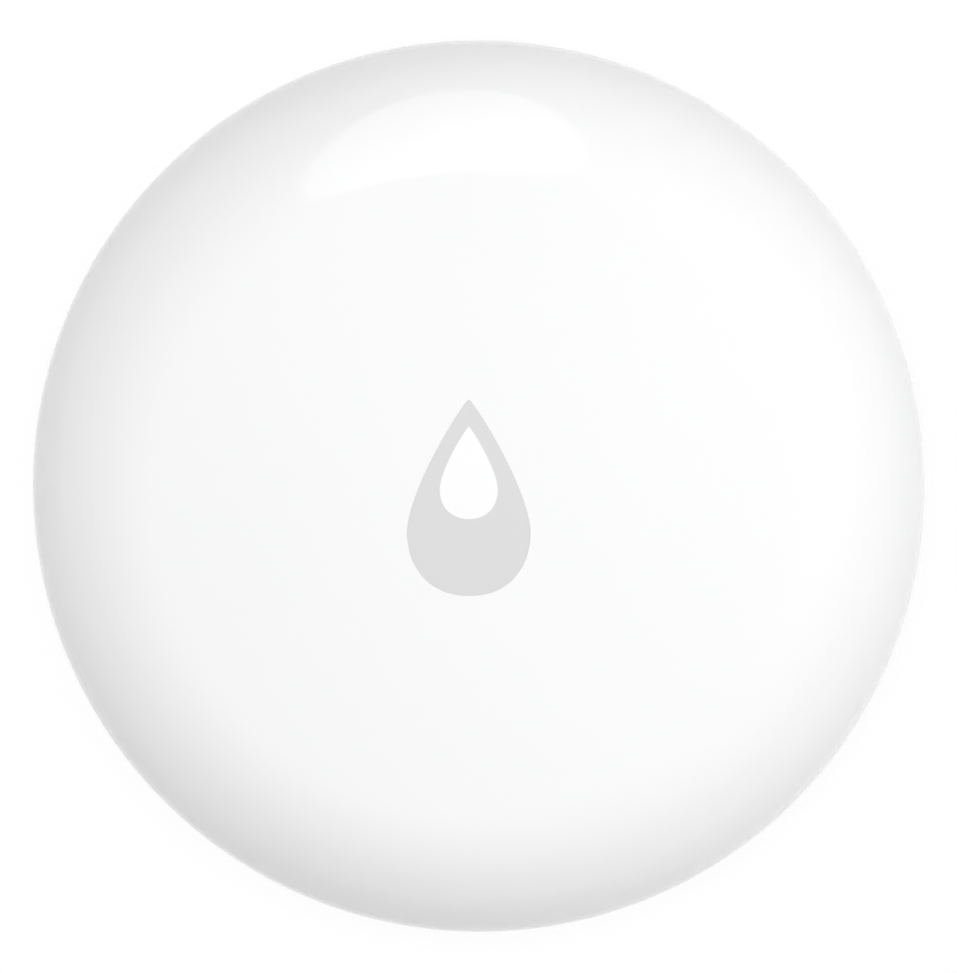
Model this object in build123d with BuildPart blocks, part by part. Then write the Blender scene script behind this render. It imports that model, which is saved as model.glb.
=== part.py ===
from build123d import *
import os
from math import atan2, cos, degrees, hypot, pi, radians, sin, sqrt

# Water leak sensor: a round coin-cell puck that stands on three rubber feet.
# Two steel probes reach almost to the floor, and water that bridges them raises the alarm.
# The frame is +Z up, with the origin on the floor under the middle of the dome.
# The tip of the drop mark points to +Y. All lengths are in millimetres, all angles in degrees.

os.makedirs("parts", exist_ok=True)

# Housing, outside
body_diameter = 50
body_height = 15
crown_rise = 1.35
rim_land = 0.45
seam_level = 4.3
seam_gap = 0.3
seam_setback = 0.3
side_tuck = 3.3
tuck_share = 0.73
flank_share = 0.4
rim_round = 0.2

# Housing, walls and fits
shell_wall = 1.6
base_floor = 1.6
recess_wall = 1.35
neck_wall = 1.3
spigot_wall = 1.4
spigot_fit = 0.1
spigot_relief = 0.2
cut_overrun = 0.5

# Feet
foot_height = 0.8
foot_recess = 0.3
foot_width = 1.8
foot_arc = 26
foot_fit = 0.05
foot_count = 3

# Coin cell
cell_diameter = 20
cell_height = 3.2
cell_sheet = 0.25
cell_corner = 0.4
cell_cap_step = 0.7
cell_crimp = 0.45
cell_lip_drop = 0.45
cell_gasket_floor = 0.3

# Battery holder and its two contacts
cell_gap = 0.6
cell_clearance = 0.15
contact_gap = 0.8
holder_wall = 0.9
holder_ceiling = 0.5
claw_height = 0.3
claw_reach = 0.55
claw_arc = 14
claw_count = 4
peg_radius = 0.4
peg_stand = 0.3
clip_thickness = 0.2
clip_arc = 26
clip_window_arc = 34
clip_height = 3.4
leg_width = 1.1
leg_stand = 0.35
leaf_thickness = 0.2
leaf_width = 3
leaf_length = 8.5
leaf_tail = 1.5
leaf_room = 0.6
rest_gap = 0.02

# Circuit board and what is soldered to it
board_thickness = 1
board_overlap = 0.1
board_hole_fit = 0.1
radio_size = 6
radio_height = 0.9
crystal_length = 3.2
crystal_width = 2.5
crystal_height = 0.8
crystal_gap = 0.9
sense_length = 4
sense_width = 3
sense_height = 1
passive_length = 1.6
passive_width = 0.8
passive_height = 0.75
passive_pitch = 2.3
passive_row_pitch = 1.7
led_length = 2
led_width = 1.2
led_height = 0.7
trace_width = 0.45
trace_height = 0.1
trace_pitch = 1.5
trace_run = 4.2
trace_turns = 4
crystal_corner = 0.4
chip_corner = 0.15
radio_share = (-0.444, 0.444)
sense_share = (0.444, -0.444)
passive_shares = [(-0.444, 0.173), (0.444, -0.678), (0.69, -0.296)]
trace_start_share = 0.6

# Board screws
board_screw_count = 3
board_screw_radius = 0.8
board_screw_length = 4.2
board_screw_head_radius = 1.4
board_screw_head = 0.8
board_boss_radius = 1.5
thread_fit = 0.02
cross_share = 0.62
cross_width_share = 0.18
cross_depth_share = 0.5

# Battery cover with its quick thread
cover_floor = 1.6
cover_lift = 0.05
cover_overlap = 1.1
cover_clearance = 0.15
skirt_wall = 1.1
skirt_margin = 0.1
skirt_relief = 0.4
lug_reach = 0.9
lug_clearance = 0.2
lug_height = 0.8
lug_arc = 26
lug_lag = 10
ledge_arc = 40
ledge_height = 0.8
thread_gap = 0.1
thread_lead = 12
thread_starts = 3
bead_height = 0.2
bead_reach = 0.15
coin_slot_length = 16
coin_slot_width = 1.8
coin_slot_depth = 0.9
mark_dot_radius = 0.5
mark_dot_depth = 0.2
cushion_margin = 0.95
cushion_relief = 0.05

# Probes
probe_gap = 0.35
probe_boss_wall = 0.4
probe_stand = 0.2
probe_head_radius = 2.5
probe_head = 1
probe_round = 0.3
probe_shank_radius = 1.25
probe_seal = 0.5
probe_seal_margin = 0.1
probe_recess_clearance = 0.3
probe_hole_fit = 0.1
insert_radius = 1.9
insert_length = 2.4
insert_end = 0.25
insert_seat = 0.5
insert_stand = 0.2
insert_fit = 0.02

# Spring contacts between board and probes
barrel_radius = 1
barrel_wall = 0.3
barrel_below = 1.8
barrel_above = 1.5
pin_gap = 0.05
pin_fit = 0.05
pin_nose_radius = 0.45
pin_piston = 0.7
pin_nose_round = 0.2
pin_retreat = 0.1
spring_wire = 0.2
spring_pitch = 0.7
spring_clearance = 0.1

# Seals
seal_clearance = 0.03
seal_groove_depth = 0.75
seal_groove_room = 0.2
snap_bead = 0.2
snap_room = 0.1
snap_drop = 0.4
cover_seal_clearance = 0.05
cover_seal_gap = 0.1

# Drop-shaped key and its white inlay
mark_length = 10.9
mark_width = 6.84
mark_inlay_length = 5.13
mark_inlay_width = 3.22
mark_tip_band = 1.5
mark_widest_share = 0.68
mark_tip_share = 0.07
mark_neck_share = 0.22
mark_belly_share = 0.43
mark_bottom_share = 0.75
inlay_belly_share = 0.64
inlay_bottom_share = 0.57
key_fit = 0.03
key_flange = 0.6
key_flange_reach = 0.5
key_lift = 0.05
key_stem_radius = 1.4
key_travel = 0.3
inlay_depth = 0.6
pad_drop = 0.2

# Key seal, its clamp and the collar that carries them
collar_gap = 0.65
collar_wall = 1.6
collar_height = 1
membrane = 0.4
membrane_thin = 0.15
membrane_margin = 0.2
membrane_rim = 1.7
pip_height = 0.3
pip_radius = 1
retainer_height = 0.8
retainer_margin = 0.1
stake_radius = 0.7
stake_head = 0.3
stake_head_radius = 1.2
stake_fit = 0.05
stake_gap = 0.9
stake_count = 3

# Push switch and light guide under the key
switch_length = 6
switch_width = 3.5
switch_height = 1.6
switch_floor = 0.5
switch_bore = 1.5
switch_lid = 0.15
switch_gap = 0.35
plunger_radius = 0.85
plunger_collar = 0.4
plunger_collar_radius = 1.35
plunger_fit = 0.1
plunger_gap = 0.05
snap_sheet = 0.1
snap_gap = 0.1
snap_radius = 1.35
guide_margin = 0.4
guide_radius = 1.3
guide_foot_radius = 1.6
guide_foot = 1.5
guide_room = 0.15

# Posts that hold the board down
post_radius = 1
post_gap = 0.1
post_count = 3

# Levels above the floor, from the bottom up
underside = foot_height
base_inside = underside + base_floor
cover_inside = underside + cover_floor
cell_bottom = cover_inside + cell_gap
cell_top = cell_bottom + cell_height
board_bottom = cell_top + contact_gap
board_top = board_bottom + board_thickness
recess_ceiling = cover_inside + cover_lift
neck_shoulder = recess_ceiling + neck_wall
shell_edge = seam_level + seam_gap
equator = shell_edge + rim_land
spigot_top = board_bottom - spigot_relief
rim_bore_top = spigot_top + spigot_relief
skirt_top = board_bottom - skirt_relief

# Radii, from the cell outwards
cell_radius = cell_diameter / 2
holder_bore = cell_radius + cell_clearance
holder_radius = holder_bore + holder_wall
probe_boss_radius = insert_radius + probe_boss_wall
probe_circle = holder_radius + probe_gap + probe_boss_radius
skirt_radius = probe_circle + probe_boss_radius + skirt_margin
skirt_bore = skirt_radius - skirt_wall
lug_radius = skirt_radius + lug_reach
neck_bore = lug_radius + lug_clearance
neck_radius = neck_bore + neck_wall
cover_radius = neck_bore + cover_overlap
recess_radius = cover_radius + cover_clearance
band_radius = recess_radius + recess_wall

# Coin cell and its contacts
can_bore = cell_radius - cell_sheet
crimp_top = cell_top - cell_lip_drop
crimp_bottom = crimp_top - cell_sheet
clip_radius = cell_radius + rest_gap
leaf_root = leaf_length - leaf_tail
cushion_radius = cell_radius - claw_reach - cushion_margin

# Radii, from the outside inwards
body_radius = body_diameter / 2
base_radius = body_radius - seam_setback
underside_radius = body_radius - side_tuck
rim_bore = body_radius - shell_wall
spigot_radius = rim_bore - spigot_fit
spigot_bore = spigot_radius - spigot_wall
board_radius = spigot_bore + board_overlap
board_screw_circle = (neck_radius + spigot_bore) / 2
post_circle = (neck_bore + neck_radius) / 2
foot_circle = (recess_radius + underside_radius) / 2

# The dome is a crown arc that runs smoothly into a tight shoulder arc
shoulder_radius = body_height - equator - crown_rise
shoulder_axis = body_radius - shoulder_radius
shoulder_drop = shoulder_radius + crown_rise
crown_radius = (shoulder_axis**2 + shoulder_drop**2 - shoulder_radius**2) / (2 * crown_rise)
crown_level = body_height - crown_radius
crown_angle = degrees(atan2(equator - crown_level, shoulder_axis))

# Levels and radii under the crown
pad_level = body_height - shell_wall - pad_drop
collar_bottom = pad_level - collar_height
collar_radius = mark_length / 2 + key_flange_reach + collar_gap
collar_outer = collar_radius + collar_wall
membrane_bottom = collar_bottom - membrane
retainer_bottom = membrane_bottom - retainer_height
stake_circle = collar_outer + stake_gap
flange_top = pad_level - key_lift
flange_bottom = flange_top - key_flange
inlay_bottom = body_height - inlay_depth
plunger_top = membrane_bottom - pip_height - plunger_gap
snap_rise = switch_height - switch_floor - plunger_gap - plunger_collar - snap_gap
guide_offset = collar_radius - guide_margin - guide_radius
switch_offset = guide_offset - guide_foot_radius - switch_gap - switch_width / 2

# Levels of the seals, the snap bead and the quick thread
snap_level = spigot_top - snap_drop
shell_seal_level = (shell_edge + snap_level - snap_bead) / 2
shell_seal_floor = spigot_radius - seal_groove_depth
shell_seal_section = (rim_bore - shell_seal_floor) / 2 - seal_clearance
cover_seal_section = (neck_bore - skirt_radius) / 2 - cover_seal_clearance
cover_seal_level = cover_inside + cover_seal_clearance + cover_seal_section
bead_level = cover_seal_level + cover_seal_section + cover_seal_clearance
ledge_level = cover_seal_level + cover_seal_section + cover_seal_gap
lug_level = ledge_level + ledge_height + thread_gap + thread_lead * lug_lag / 360

# Levels of the probes and of the spring contacts above them
probe_head_top = probe_stand + probe_head
probe_ceiling = probe_head_top + probe_seal
insert_bottom = probe_ceiling + insert_seat
insert_top = insert_bottom + insert_length
boss_top = insert_top - insert_stand
pin_bottom = insert_top + pin_gap
barrel_bottom = board_bottom - barrel_below
barrel_top = board_top + barrel_above
barrel_bore = barrel_radius - barrel_wall
piston_bottom = barrel_bottom + barrel_wall + pin_retreat
piston_top = piston_bottom + pin_piston
chamber_top = barrel_top - barrel_wall
spring_radius = barrel_bore - spring_clearance - spring_wire / 2

# Places of what repeats
tip_turn = 90
post_turn = 30
closed_turn = 270
probe_places = [(side * probe_circle, 0) for side in (-1, 1)]
peg_places = [(side * (holder_bore + holder_radius) / 2, 0) for side in (-1, 1)]
screw_places = PolarLocations(board_screw_circle, board_screw_count, tip_turn)
post_places = PolarLocations(post_circle, post_count, post_turn)
stake_places = PolarLocations(stake_circle, stake_count, tip_turn)


def dome_level(radius, depth):
    """Height of the dome's surface, sunk by depth, at a distance from the axis."""
    if radius < shoulder_axis + (shoulder_radius - depth) * cos(radians(crown_angle)):
        return crown_level + sqrt((crown_radius - depth) ** 2 - radius**2)
    return equator + sqrt((shoulder_radius - depth) ** 2 - (radius - shoulder_axis) ** 2)


def dome_section(depth, bottom):
    """Half section of the dome, its surface sunk by depth, cut off flat at the bottom."""
    with BuildLine() as outline:
        shoulder = CenterArc((shoulder_axis, equator), shoulder_radius - depth, 0, crown_angle)
        crown = CenterArc((0, crown_level), crown_radius - depth, crown_angle, 90 - crown_angle)
        Polyline(crown @ 1, (0, bottom), (body_radius - depth, bottom), shoulder @ 0)
    make_face(outline.edges())


def ring_section(inner, outer, bottom, top, mode=Mode.ADD):
    """Rectangle between two radii and two levels, to be revolved about the axis."""
    with Locations(((inner + outer) / 2, (bottom + top) / 2)):
        Rectangle(outer - inner, top - bottom, mode=mode)


def ring_sector(inner, outer, middle_angle, arc):
    """Part of a flat ring between two radii, over an arc about its middle angle."""
    start = middle_angle - arc / 2
    with BuildLine() as outline:
        outside = CenterArc((0, 0), outer, start, arc)
        inside = CenterArc((0, 0), inner, start, arc)
        Line(outside @ 0, inside @ 0)
        Line(outside @ 1, inside @ 1)
    make_face(outline.edges())


def drop_outline(length, width, tip, belly_share, bottom_share):
    """Drop with its tip at the given Y, drawn as two curves that are mirrored about Y."""
    half = width / 2
    widest = tip - mark_widest_share * length
    bottom = tip - length
    with BuildLine() as outline:
        flank = Bezier(
            (0, tip),
            (mark_tip_share * half, tip),
            (half, widest + mark_neck_share * length),
            (half, widest),
        )
        belly = Bezier(
            (half, widest),
            (half, widest - belly_share * (widest - bottom)),
            (bottom_share * half, bottom),
            (0, bottom),
        )
        mirror(flank, about=Plane.YZ)
        mirror(belly, about=Plane.YZ)
    make_face(outline.edges())


def key_outline(margin):
    """Outline of the drop-shaped key, widened all round by a margin."""
    length = mark_length + 2 * margin
    width = mark_width + 2 * margin
    tip = mark_length / 2 + margin
    drop_outline(length, width, tip, mark_belly_share, mark_bottom_share)


def inlay_outline():
    """Outline of the white inlay in the upper half of the key."""
    tip = mark_length / 2 - mark_tip_band
    drop_outline(mark_inlay_length, mark_inlay_width, tip, inlay_belly_share, inlay_bottom_share)


def cross_outline(head_radius):
    """Cross recess of a screw head, drawn at each place of the sketch."""
    length = 2 * cross_share * head_radius
    width = 2 * cross_width_share * head_radius
    Rectangle(length, width)
    Rectangle(width, length)


def board_place(share):
    """Place on the board, from shares of the radius on which the posts stand."""
    return share[0] * post_circle, share[1] * post_circle


def thread_rib(inner, outer, bottom, height, start, arc):
    """One helical rib of the quick thread, from a start angle over an arc."""
    with BuildPart() as rib:
        with BuildLine() as path:
            Helix(thread_lead, thread_lead * arc / 360, inner)
        with BuildSketch(Plane.XZ):
            ring_section(inner, outer, 0, height)
        sweep(path=path.line, is_frenet=True)
    return rib.part.moved(Location((0, 0, bottom), (0, 0, start)))


def snap_cap(radius, rise, sheet):
    """Thin spherical cap that stands on the plane at zero height, to be placed and added."""
    ball = (radius**2 + rise**2) / (2 * rise)
    with BuildPart() as cap:
        with Locations((0, 0, rise - ball)):
            Sphere(ball)
            Sphere(ball - sheet, mode=Mode.SUBTRACT)
        split(bisect_by=Plane.XY)
    return cap.part


# Top shell: the white dome, with the key's window, the collar and stakes that carry the
# key's seal, a bore and groove for the base's spigot, and posts that hold the board down.
with BuildPart() as top_shell:
    with BuildSketch(Plane.XZ):
        dome_section(0, shell_edge)
    revolve(axis=Axis.Z)
    with BuildSketch(Plane.XZ):
        dome_section(shell_wall, shell_edge - cut_overrun)
        with Locations((0, pad_level)):
            Rectangle(body_diameter, shell_wall, align=(Align.CENTER, Align.MIN), mode=Mode.SUBTRACT)
    revolve(axis=Axis.Z, mode=Mode.SUBTRACT)
    with BuildSketch(Plane.XY.offset(shell_edge)):
        Circle(rim_bore)
    extrude(amount=rim_bore_top - shell_edge, mode=Mode.SUBTRACT)
    with BuildSketch(Plane.XZ):
        with Locations((rim_bore, snap_level)):
            Circle(snap_bead + snap_room)
    revolve(axis=Axis.Z, mode=Mode.SUBTRACT)
    outer_edge = top_shell.edges().filter_by(GeomType.CIRCLE).group_by(Axis.Z)[0]
    fillet(outer_edge.sort_by(SortBy.RADIUS)[-1], radius=rim_round)
    with BuildSketch(Plane.XY.offset(collar_bottom)):
        Circle(collar_outer)
        Circle(collar_radius, mode=Mode.SUBTRACT)
    extrude(amount=collar_height + pad_drop)
    with BuildSketch(Plane.XY.offset(retainer_bottom)):
        with stake_places:
            Circle(stake_radius)
    extrude(amount=dome_level(stake_circle, shell_wall / 2) - retainer_bottom)
    with BuildSketch(Plane.XY.offset(retainer_bottom)):
        with stake_places:
            Circle(stake_head_radius)
    extrude(amount=-stake_head)
    fillet(top_shell.faces().sort_by(Axis.Z)[0].edges(), radius=rim_round)
    with BuildSketch(Plane.XY.offset(board_top + post_gap)):
        with post_places:
            Circle(post_radius)
    extrude(amount=dome_level(post_circle, shell_wall / 2) - board_top - post_gap)
    with BuildSketch(Plane.XY.offset(pad_level - cut_overrun)):
        key_outline(0)
    extrude(amount=body_height - pad_level + 2 * cut_overrun, mode=Mode.SUBTRACT)

top_shell.part.label = "top_shell"
export_step(top_shell.part, "parts/top_shell.step")

# Base shell: the underside with its rounded flank, the spigot that snaps into the dome, the
# neck that the battery cover turns into, screw bosses for the board and beds for the feet.
with BuildPart() as base_shell:
    with BuildSketch(Plane.XZ):
        with BuildLine():
            flank = Bezier(
                (underside_radius, underside),
                (underside_radius + tuck_share * (base_radius - underside_radius), underside),
                (base_radius, underside + flank_share * (seam_level - underside)),
                (base_radius, seam_level),
            )
            Polyline(
                flank @ 1,
                (spigot_radius, seam_level),
                (spigot_radius, spigot_top),
                (spigot_bore, spigot_top),
                (spigot_bore, base_inside),
                (band_radius, base_inside),
                (band_radius, neck_shoulder),
                (neck_radius, neck_shoulder),
                (neck_radius, board_bottom),
                (neck_bore, board_bottom),
                (neck_bore, recess_ceiling),
                (recess_radius, recess_ceiling),
                (recess_radius, underside),
                flank @ 0,
            )
        make_face()
        seal_groove_height = 2 * shell_seal_section + seal_groove_room
        with Locations((shell_seal_floor, shell_seal_level)):
            side = (Align.MIN, Align.CENTER)
            Rectangle(spigot_wall, seal_groove_height, align=side, mode=Mode.SUBTRACT)
        with Locations((spigot_radius, snap_level)):
            Circle(snap_bead)
    revolve(axis=Axis.Z)
    with BuildSketch(Plane.XY.offset(base_inside - cut_overrun)):
        with screw_places:
            Circle(board_boss_radius)
    extrude(amount=board_bottom - base_inside + cut_overrun)
    with BuildSketch(Plane.XZ):
        ring_section(0, recess_radius, underside, recess_ceiling)
        ring_section(0, neck_bore, underside, board_bottom)
    revolve(axis=Axis.Z, mode=Mode.SUBTRACT)
    ledge = thread_rib(
        skirt_radius + lug_clearance, neck_bore + lug_clearance, ledge_level, ledge_height, 0, ledge_arc
    )
    with PolarLocations(0, thread_starts):
        add(ledge)
    with BuildSketch(Plane.XY.offset(board_bottom)):
        with screw_places:
            Circle(board_screw_radius + thread_fit)
    extrude(amount=board_thickness - board_screw_length - cut_overrun, mode=Mode.SUBTRACT)
    with BuildSketch(Plane.XY.offset(underside)):
        with PolarLocations(0, foot_count):
            bed = CenterArc((0, 0), foot_circle, tip_turn - foot_arc / 2, foot_arc, mode=Mode.PRIVATE)
            SlotArc(bed, foot_width + 2 * foot_fit)
    extrude(amount=foot_recess, mode=Mode.SUBTRACT)
    with BuildSketch(Plane.XY.offset(underside)):
        for turn in (closed_turn, closed_turn - lug_lag - lug_arc):
            with PolarLocations(recess_radius + 3 * mark_dot_radius, 1, turn):
                Circle(mark_dot_radius)
    extrude(amount=mark_dot_depth, mode=Mode.SUBTRACT)

base_shell.part.label = "base_shell"
export_step(base_shell.part, "parts/base_shell.step")

# Foot pads: three bent rubber strips glued into their beds.
with BuildPart() as foot_pads:
    with BuildSketch():
        with PolarLocations(0, foot_count):
            strip = CenterArc((0, 0), foot_circle, tip_turn - foot_arc / 2, foot_arc, mode=Mode.PRIVATE)
            SlotArc(strip, foot_width)
    extrude(amount=foot_height + foot_recess)

foot_pads.part.label = "foot_pads"
export_step(foot_pads.part, "parts/foot_pads.step")

# Shell seal: the rubber ring in the spigot's groove.
with BuildPart() as shell_seal:
    with BuildSketch(Plane.XZ):
        with Locations(((shell_seal_floor + rim_bore) / 2, shell_seal_level)):
            Circle(shell_seal_section)
    revolve(axis=Axis.Z)

shell_seal.part.label = "shell_seal"
export_step(shell_seal.part, "parts/shell_seal.step")

# Main board: a round circuit board on the neck's rim, with holes for its screws, the
# holder's pegs, the legs of the two battery contacts and the spring contacts.
leg_room = leg_width + 2 * board_hole_fit
with BuildPart() as main_board:
    with BuildSketch(Plane.XY.offset(board_bottom)):
        Circle(board_radius)
        with screw_places:
            Circle(board_screw_radius + board_hole_fit, mode=Mode.SUBTRACT)
        with Locations(*probe_places):
            Circle(barrel_radius + thread_fit, mode=Mode.SUBTRACT)
        with Locations(*peg_places):
            Circle(peg_radius + thread_fit, mode=Mode.SUBTRACT)
        with Locations((0, clip_radius + clip_thickness / 2)):
            Rectangle(leg_room, clip_thickness + 2 * board_hole_fit, mode=Mode.SUBTRACT)
        with Locations((-leaf_root, 0)):
            Rectangle(leaf_thickness + 2 * board_hole_fit, leg_room, mode=Mode.SUBTRACT)
    extrude(amount=board_thickness)

main_board.part.label = "main_board"
export_step(main_board.part, "parts/main_board.step")

# Board screws: three small pan-head screws through the board into the base's bosses.
with BuildPart() as board_screws:
    with BuildSketch(Plane.XY.offset(board_top)):
        with screw_places:
            Circle(board_screw_head_radius)
    extrude(amount=board_screw_head)
    fillet(board_screws.faces().group_by(Axis.Z)[-1].edges(), radius=chip_corner)
    with BuildSketch(Plane.XY.offset(board_top)):
        with screw_places:
            Circle(board_screw_radius)
    extrude(amount=-board_screw_length)
    with BuildSketch(Plane.XY.offset(board_top + board_screw_head)):
        with screw_places:
            cross_outline(board_screw_head_radius)
    extrude(amount=-cross_depth_share * board_screw_head, mode=Mode.SUBTRACT)

board_screws.part.label = "board_screws"
export_step(board_screws.part, "parts/board_screws.step")

# Antenna trace: a copper meander along the board's edge under the tip of the drop.
with BuildPart() as antenna_trace:
    with BuildSketch(Plane.XY.offset(board_top)):
        near = trace_start_share * board_radius
        far = near + trace_run
        corners = []
        for turn in range(trace_turns):
            left = (turn - trace_turns / 2) * 2 * trace_pitch
            right = left + trace_pitch
            corners += [(left, near), (left, far), (right, far), (right, near)]
        with BuildLine():
            Polyline(*corners)
        trace(line_width=trace_width)
    extrude(amount=trace_height)

antenna_trace.part.label = "antenna_trace"
export_step(antenna_trace.part, "parts/antenna_trace.step")

# Radio chip: the flat wireless controller.
with BuildPart() as radio_chip:
    with BuildSketch(Plane.XY.offset(board_top)):
        with Locations(board_place(radio_share)):
            Rectangle(radio_size, radio_size)
    extrude(amount=radio_height)
    chamfer(radio_chip.faces().sort_by(Axis.Z)[-1].edges(), length=chip_corner)

radio_chip.part.label = "radio_chip"
export_step(radio_chip.part, "parts/radio_chip.step")

# Crystal: the metal can that clocks the radio, in line with the chip's lower edge.
radio_x, radio_y = board_place(radio_share)
crystal_x = radio_x - radio_size / 2 - crystal_gap - crystal_length / 2
crystal_y = radio_y - radio_size / 2 + crystal_width / 2
with BuildPart() as crystal:
    with BuildSketch(Plane.XY.offset(board_top)):
        with Locations((crystal_x, crystal_y)):
            RectangleRounded(crystal_length, crystal_width, crystal_corner)
    extrude(amount=crystal_height)
    chamfer(crystal.faces().sort_by(Axis.Z)[-1].edges(), length=chip_corner)

crystal.part.label = "crystal"
export_step(crystal.part, "parts/crystal.step")

# Sense chip: the amplifier that reads the two probes.
with BuildPart() as sense_chip:
    with BuildSketch(Plane.XY.offset(board_top)):
        with Locations(board_place(sense_share)):
            Rectangle(sense_length, sense_width)
    extrude(amount=sense_height)
    chamfer(sense_chip.faces().sort_by(Axis.Z)[-1].edges(), length=chip_corner)

sense_chip.part.label = "sense_chip"
export_step(sense_chip.part, "parts/sense_chip.step")

# Passives: small resistors and capacitors in pairs of rows beside the chips.
with BuildPart() as passives:
    with BuildSketch(Plane.XY.offset(board_top)):
        with Locations(*[board_place(share) for share in passive_shares]):
            with GridLocations(passive_pitch, passive_row_pitch, 2, 2):
                Rectangle(passive_length, passive_width)
    extrude(amount=passive_height)

passives.part.label = "passives"
export_step(passives.part, "parts/passives.step")

# Status LED: the lamp that lights the key from below.
with BuildPart() as status_led:
    with BuildSketch(Plane.XY.offset(board_top)):
        with Locations((0, -guide_offset)):
            Rectangle(led_length, led_width)
    extrude(amount=led_height)

status_led.part.label = "status_led"
export_step(status_led.part, "parts/status_led.step")

# Light guide: a clear plastic post over the lamp, up to just below the key's seal.
with BuildPart() as light_guide:
    with BuildSketch(Plane.XY.offset(board_top)):
        with Locations((0, -guide_offset)):
            Circle(guide_foot_radius)
            Rectangle(led_length + 2 * guide_room, led_width + 2 * guide_room, mode=Mode.SUBTRACT)
    extrude(amount=led_height + guide_room)
    with BuildSketch(Plane.XY.offset(board_top + led_height + guide_room)):
        with Locations((0, -guide_offset)):
            Circle(guide_foot_radius)
    extrude(amount=guide_foot - led_height - guide_room)
    with BuildSketch(Plane.XY.offset(board_top + guide_foot)):
        with Locations((0, -guide_offset)):
            Circle(guide_radius)
    extrude(amount=membrane_bottom - key_travel - board_top - guide_foot)

light_guide.part.label = "light_guide"
export_step(light_guide.part, "parts/light_guide.step")

# Switch body: the moulded base of the push switch, with a round well.
with BuildPart() as switch_body:
    with BuildSketch(Plane.XY.offset(board_top)):
        with Locations((0, -switch_offset)):
            Rectangle(switch_length, switch_width)
    extrude(amount=switch_height)
    with BuildSketch(Plane.XY.offset(board_top + switch_floor)):
        with Locations((0, -switch_offset)):
            Circle(switch_bore)
    extrude(amount=switch_height - switch_floor, mode=Mode.SUBTRACT)

switch_body.part.label = "switch_body"
export_step(switch_body.part, "parts/switch_body.step")

# Switch frame: the steel plate riveted over the well.
switch_top = board_top + switch_height
with BuildPart() as switch_frame:
    with BuildSketch(Plane.XY.offset(switch_top)):
        with Locations((0, -switch_offset)):
            Rectangle(switch_length, switch_width)
            Circle(plunger_radius + plunger_fit, mode=Mode.SUBTRACT)
    extrude(amount=switch_lid)

switch_frame.part.label = "switch_frame"
export_step(switch_frame.part, "parts/switch_frame.step")

# Switch snap dome: the thin steel dome that clicks under the plunger.
with BuildPart() as switch_snap_dome:
    with Locations((0, -switch_offset, board_top + switch_floor)):
        add(snap_cap(snap_radius, snap_rise, snap_sheet))

switch_snap_dome.part.label = "switch_snap_dome"
export_step(switch_snap_dome.part, "parts/switch_snap_dome.step")

# Switch plunger: the actuator, with a collar held under the frame and a long stem.
with BuildPart() as switch_plunger:
    with BuildSketch(Plane.XY.offset(switch_top - plunger_gap)):
        with Locations((0, -switch_offset)):
            Circle(plunger_collar_radius)
    extrude(amount=-plunger_collar)
    with BuildSketch(Plane.XY.offset(switch_top - plunger_gap)):
        with Locations((0, -switch_offset)):
            Circle(plunger_radius)
    extrude(amount=plunger_top - switch_top + plunger_gap)
    fillet(switch_plunger.faces().sort_by(Axis.Z)[-1].edges(), radius=chip_corner)

switch_plunger.part.label = "switch_plunger"
export_step(switch_plunger.part, "parts/switch_plunger.step")

# Button seal: a silicone disc across the collar, thinner in a ring so that its middle can
# move, with a pip that reaches the plunger.
with BuildPart() as button_seal:
    with BuildSketch(Plane.XY.offset(membrane_bottom)):
        Circle(collar_outer - membrane_margin)
    extrude(amount=membrane)
    with BuildSketch(Plane.XY.offset(membrane_bottom)):
        Circle(collar_radius - membrane_margin)
        Circle(collar_radius - membrane_rim, mode=Mode.SUBTRACT)
    extrude(amount=membrane_thin, mode=Mode.SUBTRACT)
    with BuildSketch(Plane.XY.offset(membrane_bottom)):
        with Locations((0, -switch_offset)):
            Circle(pip_radius)
    extrude(amount=-pip_height)

button_seal.part.label = "button_seal"
export_step(button_seal.part, "parts/button_seal.step")

# Button retainer: the ring that clamps the seal, staked to the top shell at three ears.
with BuildPart() as button_retainer:
    with BuildSketch(Plane.XY.offset(retainer_bottom)):
        Circle(collar_outer + retainer_margin)
        with stake_places:
            Circle(stake_radius + stake_fit + stake_gap)
        Circle(collar_radius, mode=Mode.SUBTRACT)
        with stake_places:
            Circle(stake_radius + stake_fit, mode=Mode.SUBTRACT)
    extrude(amount=retainer_height)

button_retainer.part.label = "button_retainer"
export_step(button_retainer.part, "parts/button_retainer.step")

# Button key: the grey drop that shows in the crown, with a flange under the dome and a stem.
with BuildPart() as button_key:
    with BuildSketch(Plane.XY.offset(flange_bottom)):
        key_outline(key_flange_reach)
    extrude(amount=key_flange)
    with BuildSketch(Plane.XY.offset(flange_bottom)):
        with Locations((0, -switch_offset)):
            Circle(key_stem_radius)
    extrude(amount=collar_bottom + rest_gap - flange_bottom)
    with BuildSketch(Plane.XY.offset(flange_top)):
        key_outline(-key_fit)
    extrude(amount=body_height - flange_top)
    with BuildSketch(Plane.XZ):
        dome_section(0, shell_edge)
    revolve(axis=Axis.Z, mode=Mode.INTERSECT)
    with BuildSketch(Plane.XY.offset(inlay_bottom)):
        inlay_outline()
    extrude(amount=body_height - inlay_bottom, mode=Mode.SUBTRACT)

button_key.part.label = "button_key"
export_step(button_key.part, "parts/button_key.step")

# Button inlay: the small white drop moulded into the key.
with BuildPart() as button_inlay:
    with BuildSketch(Plane.XY.offset(inlay_bottom)):
        inlay_outline()
    extrude(amount=body_height - inlay_bottom)
    with BuildSketch(Plane.XZ):
        dome_section(0, shell_edge)
    revolve(axis=Axis.Z, mode=Mode.INTERSECT)

button_inlay.part.label = "button_inlay"
export_step(button_inlay.part, "parts/button_inlay.step")

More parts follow.
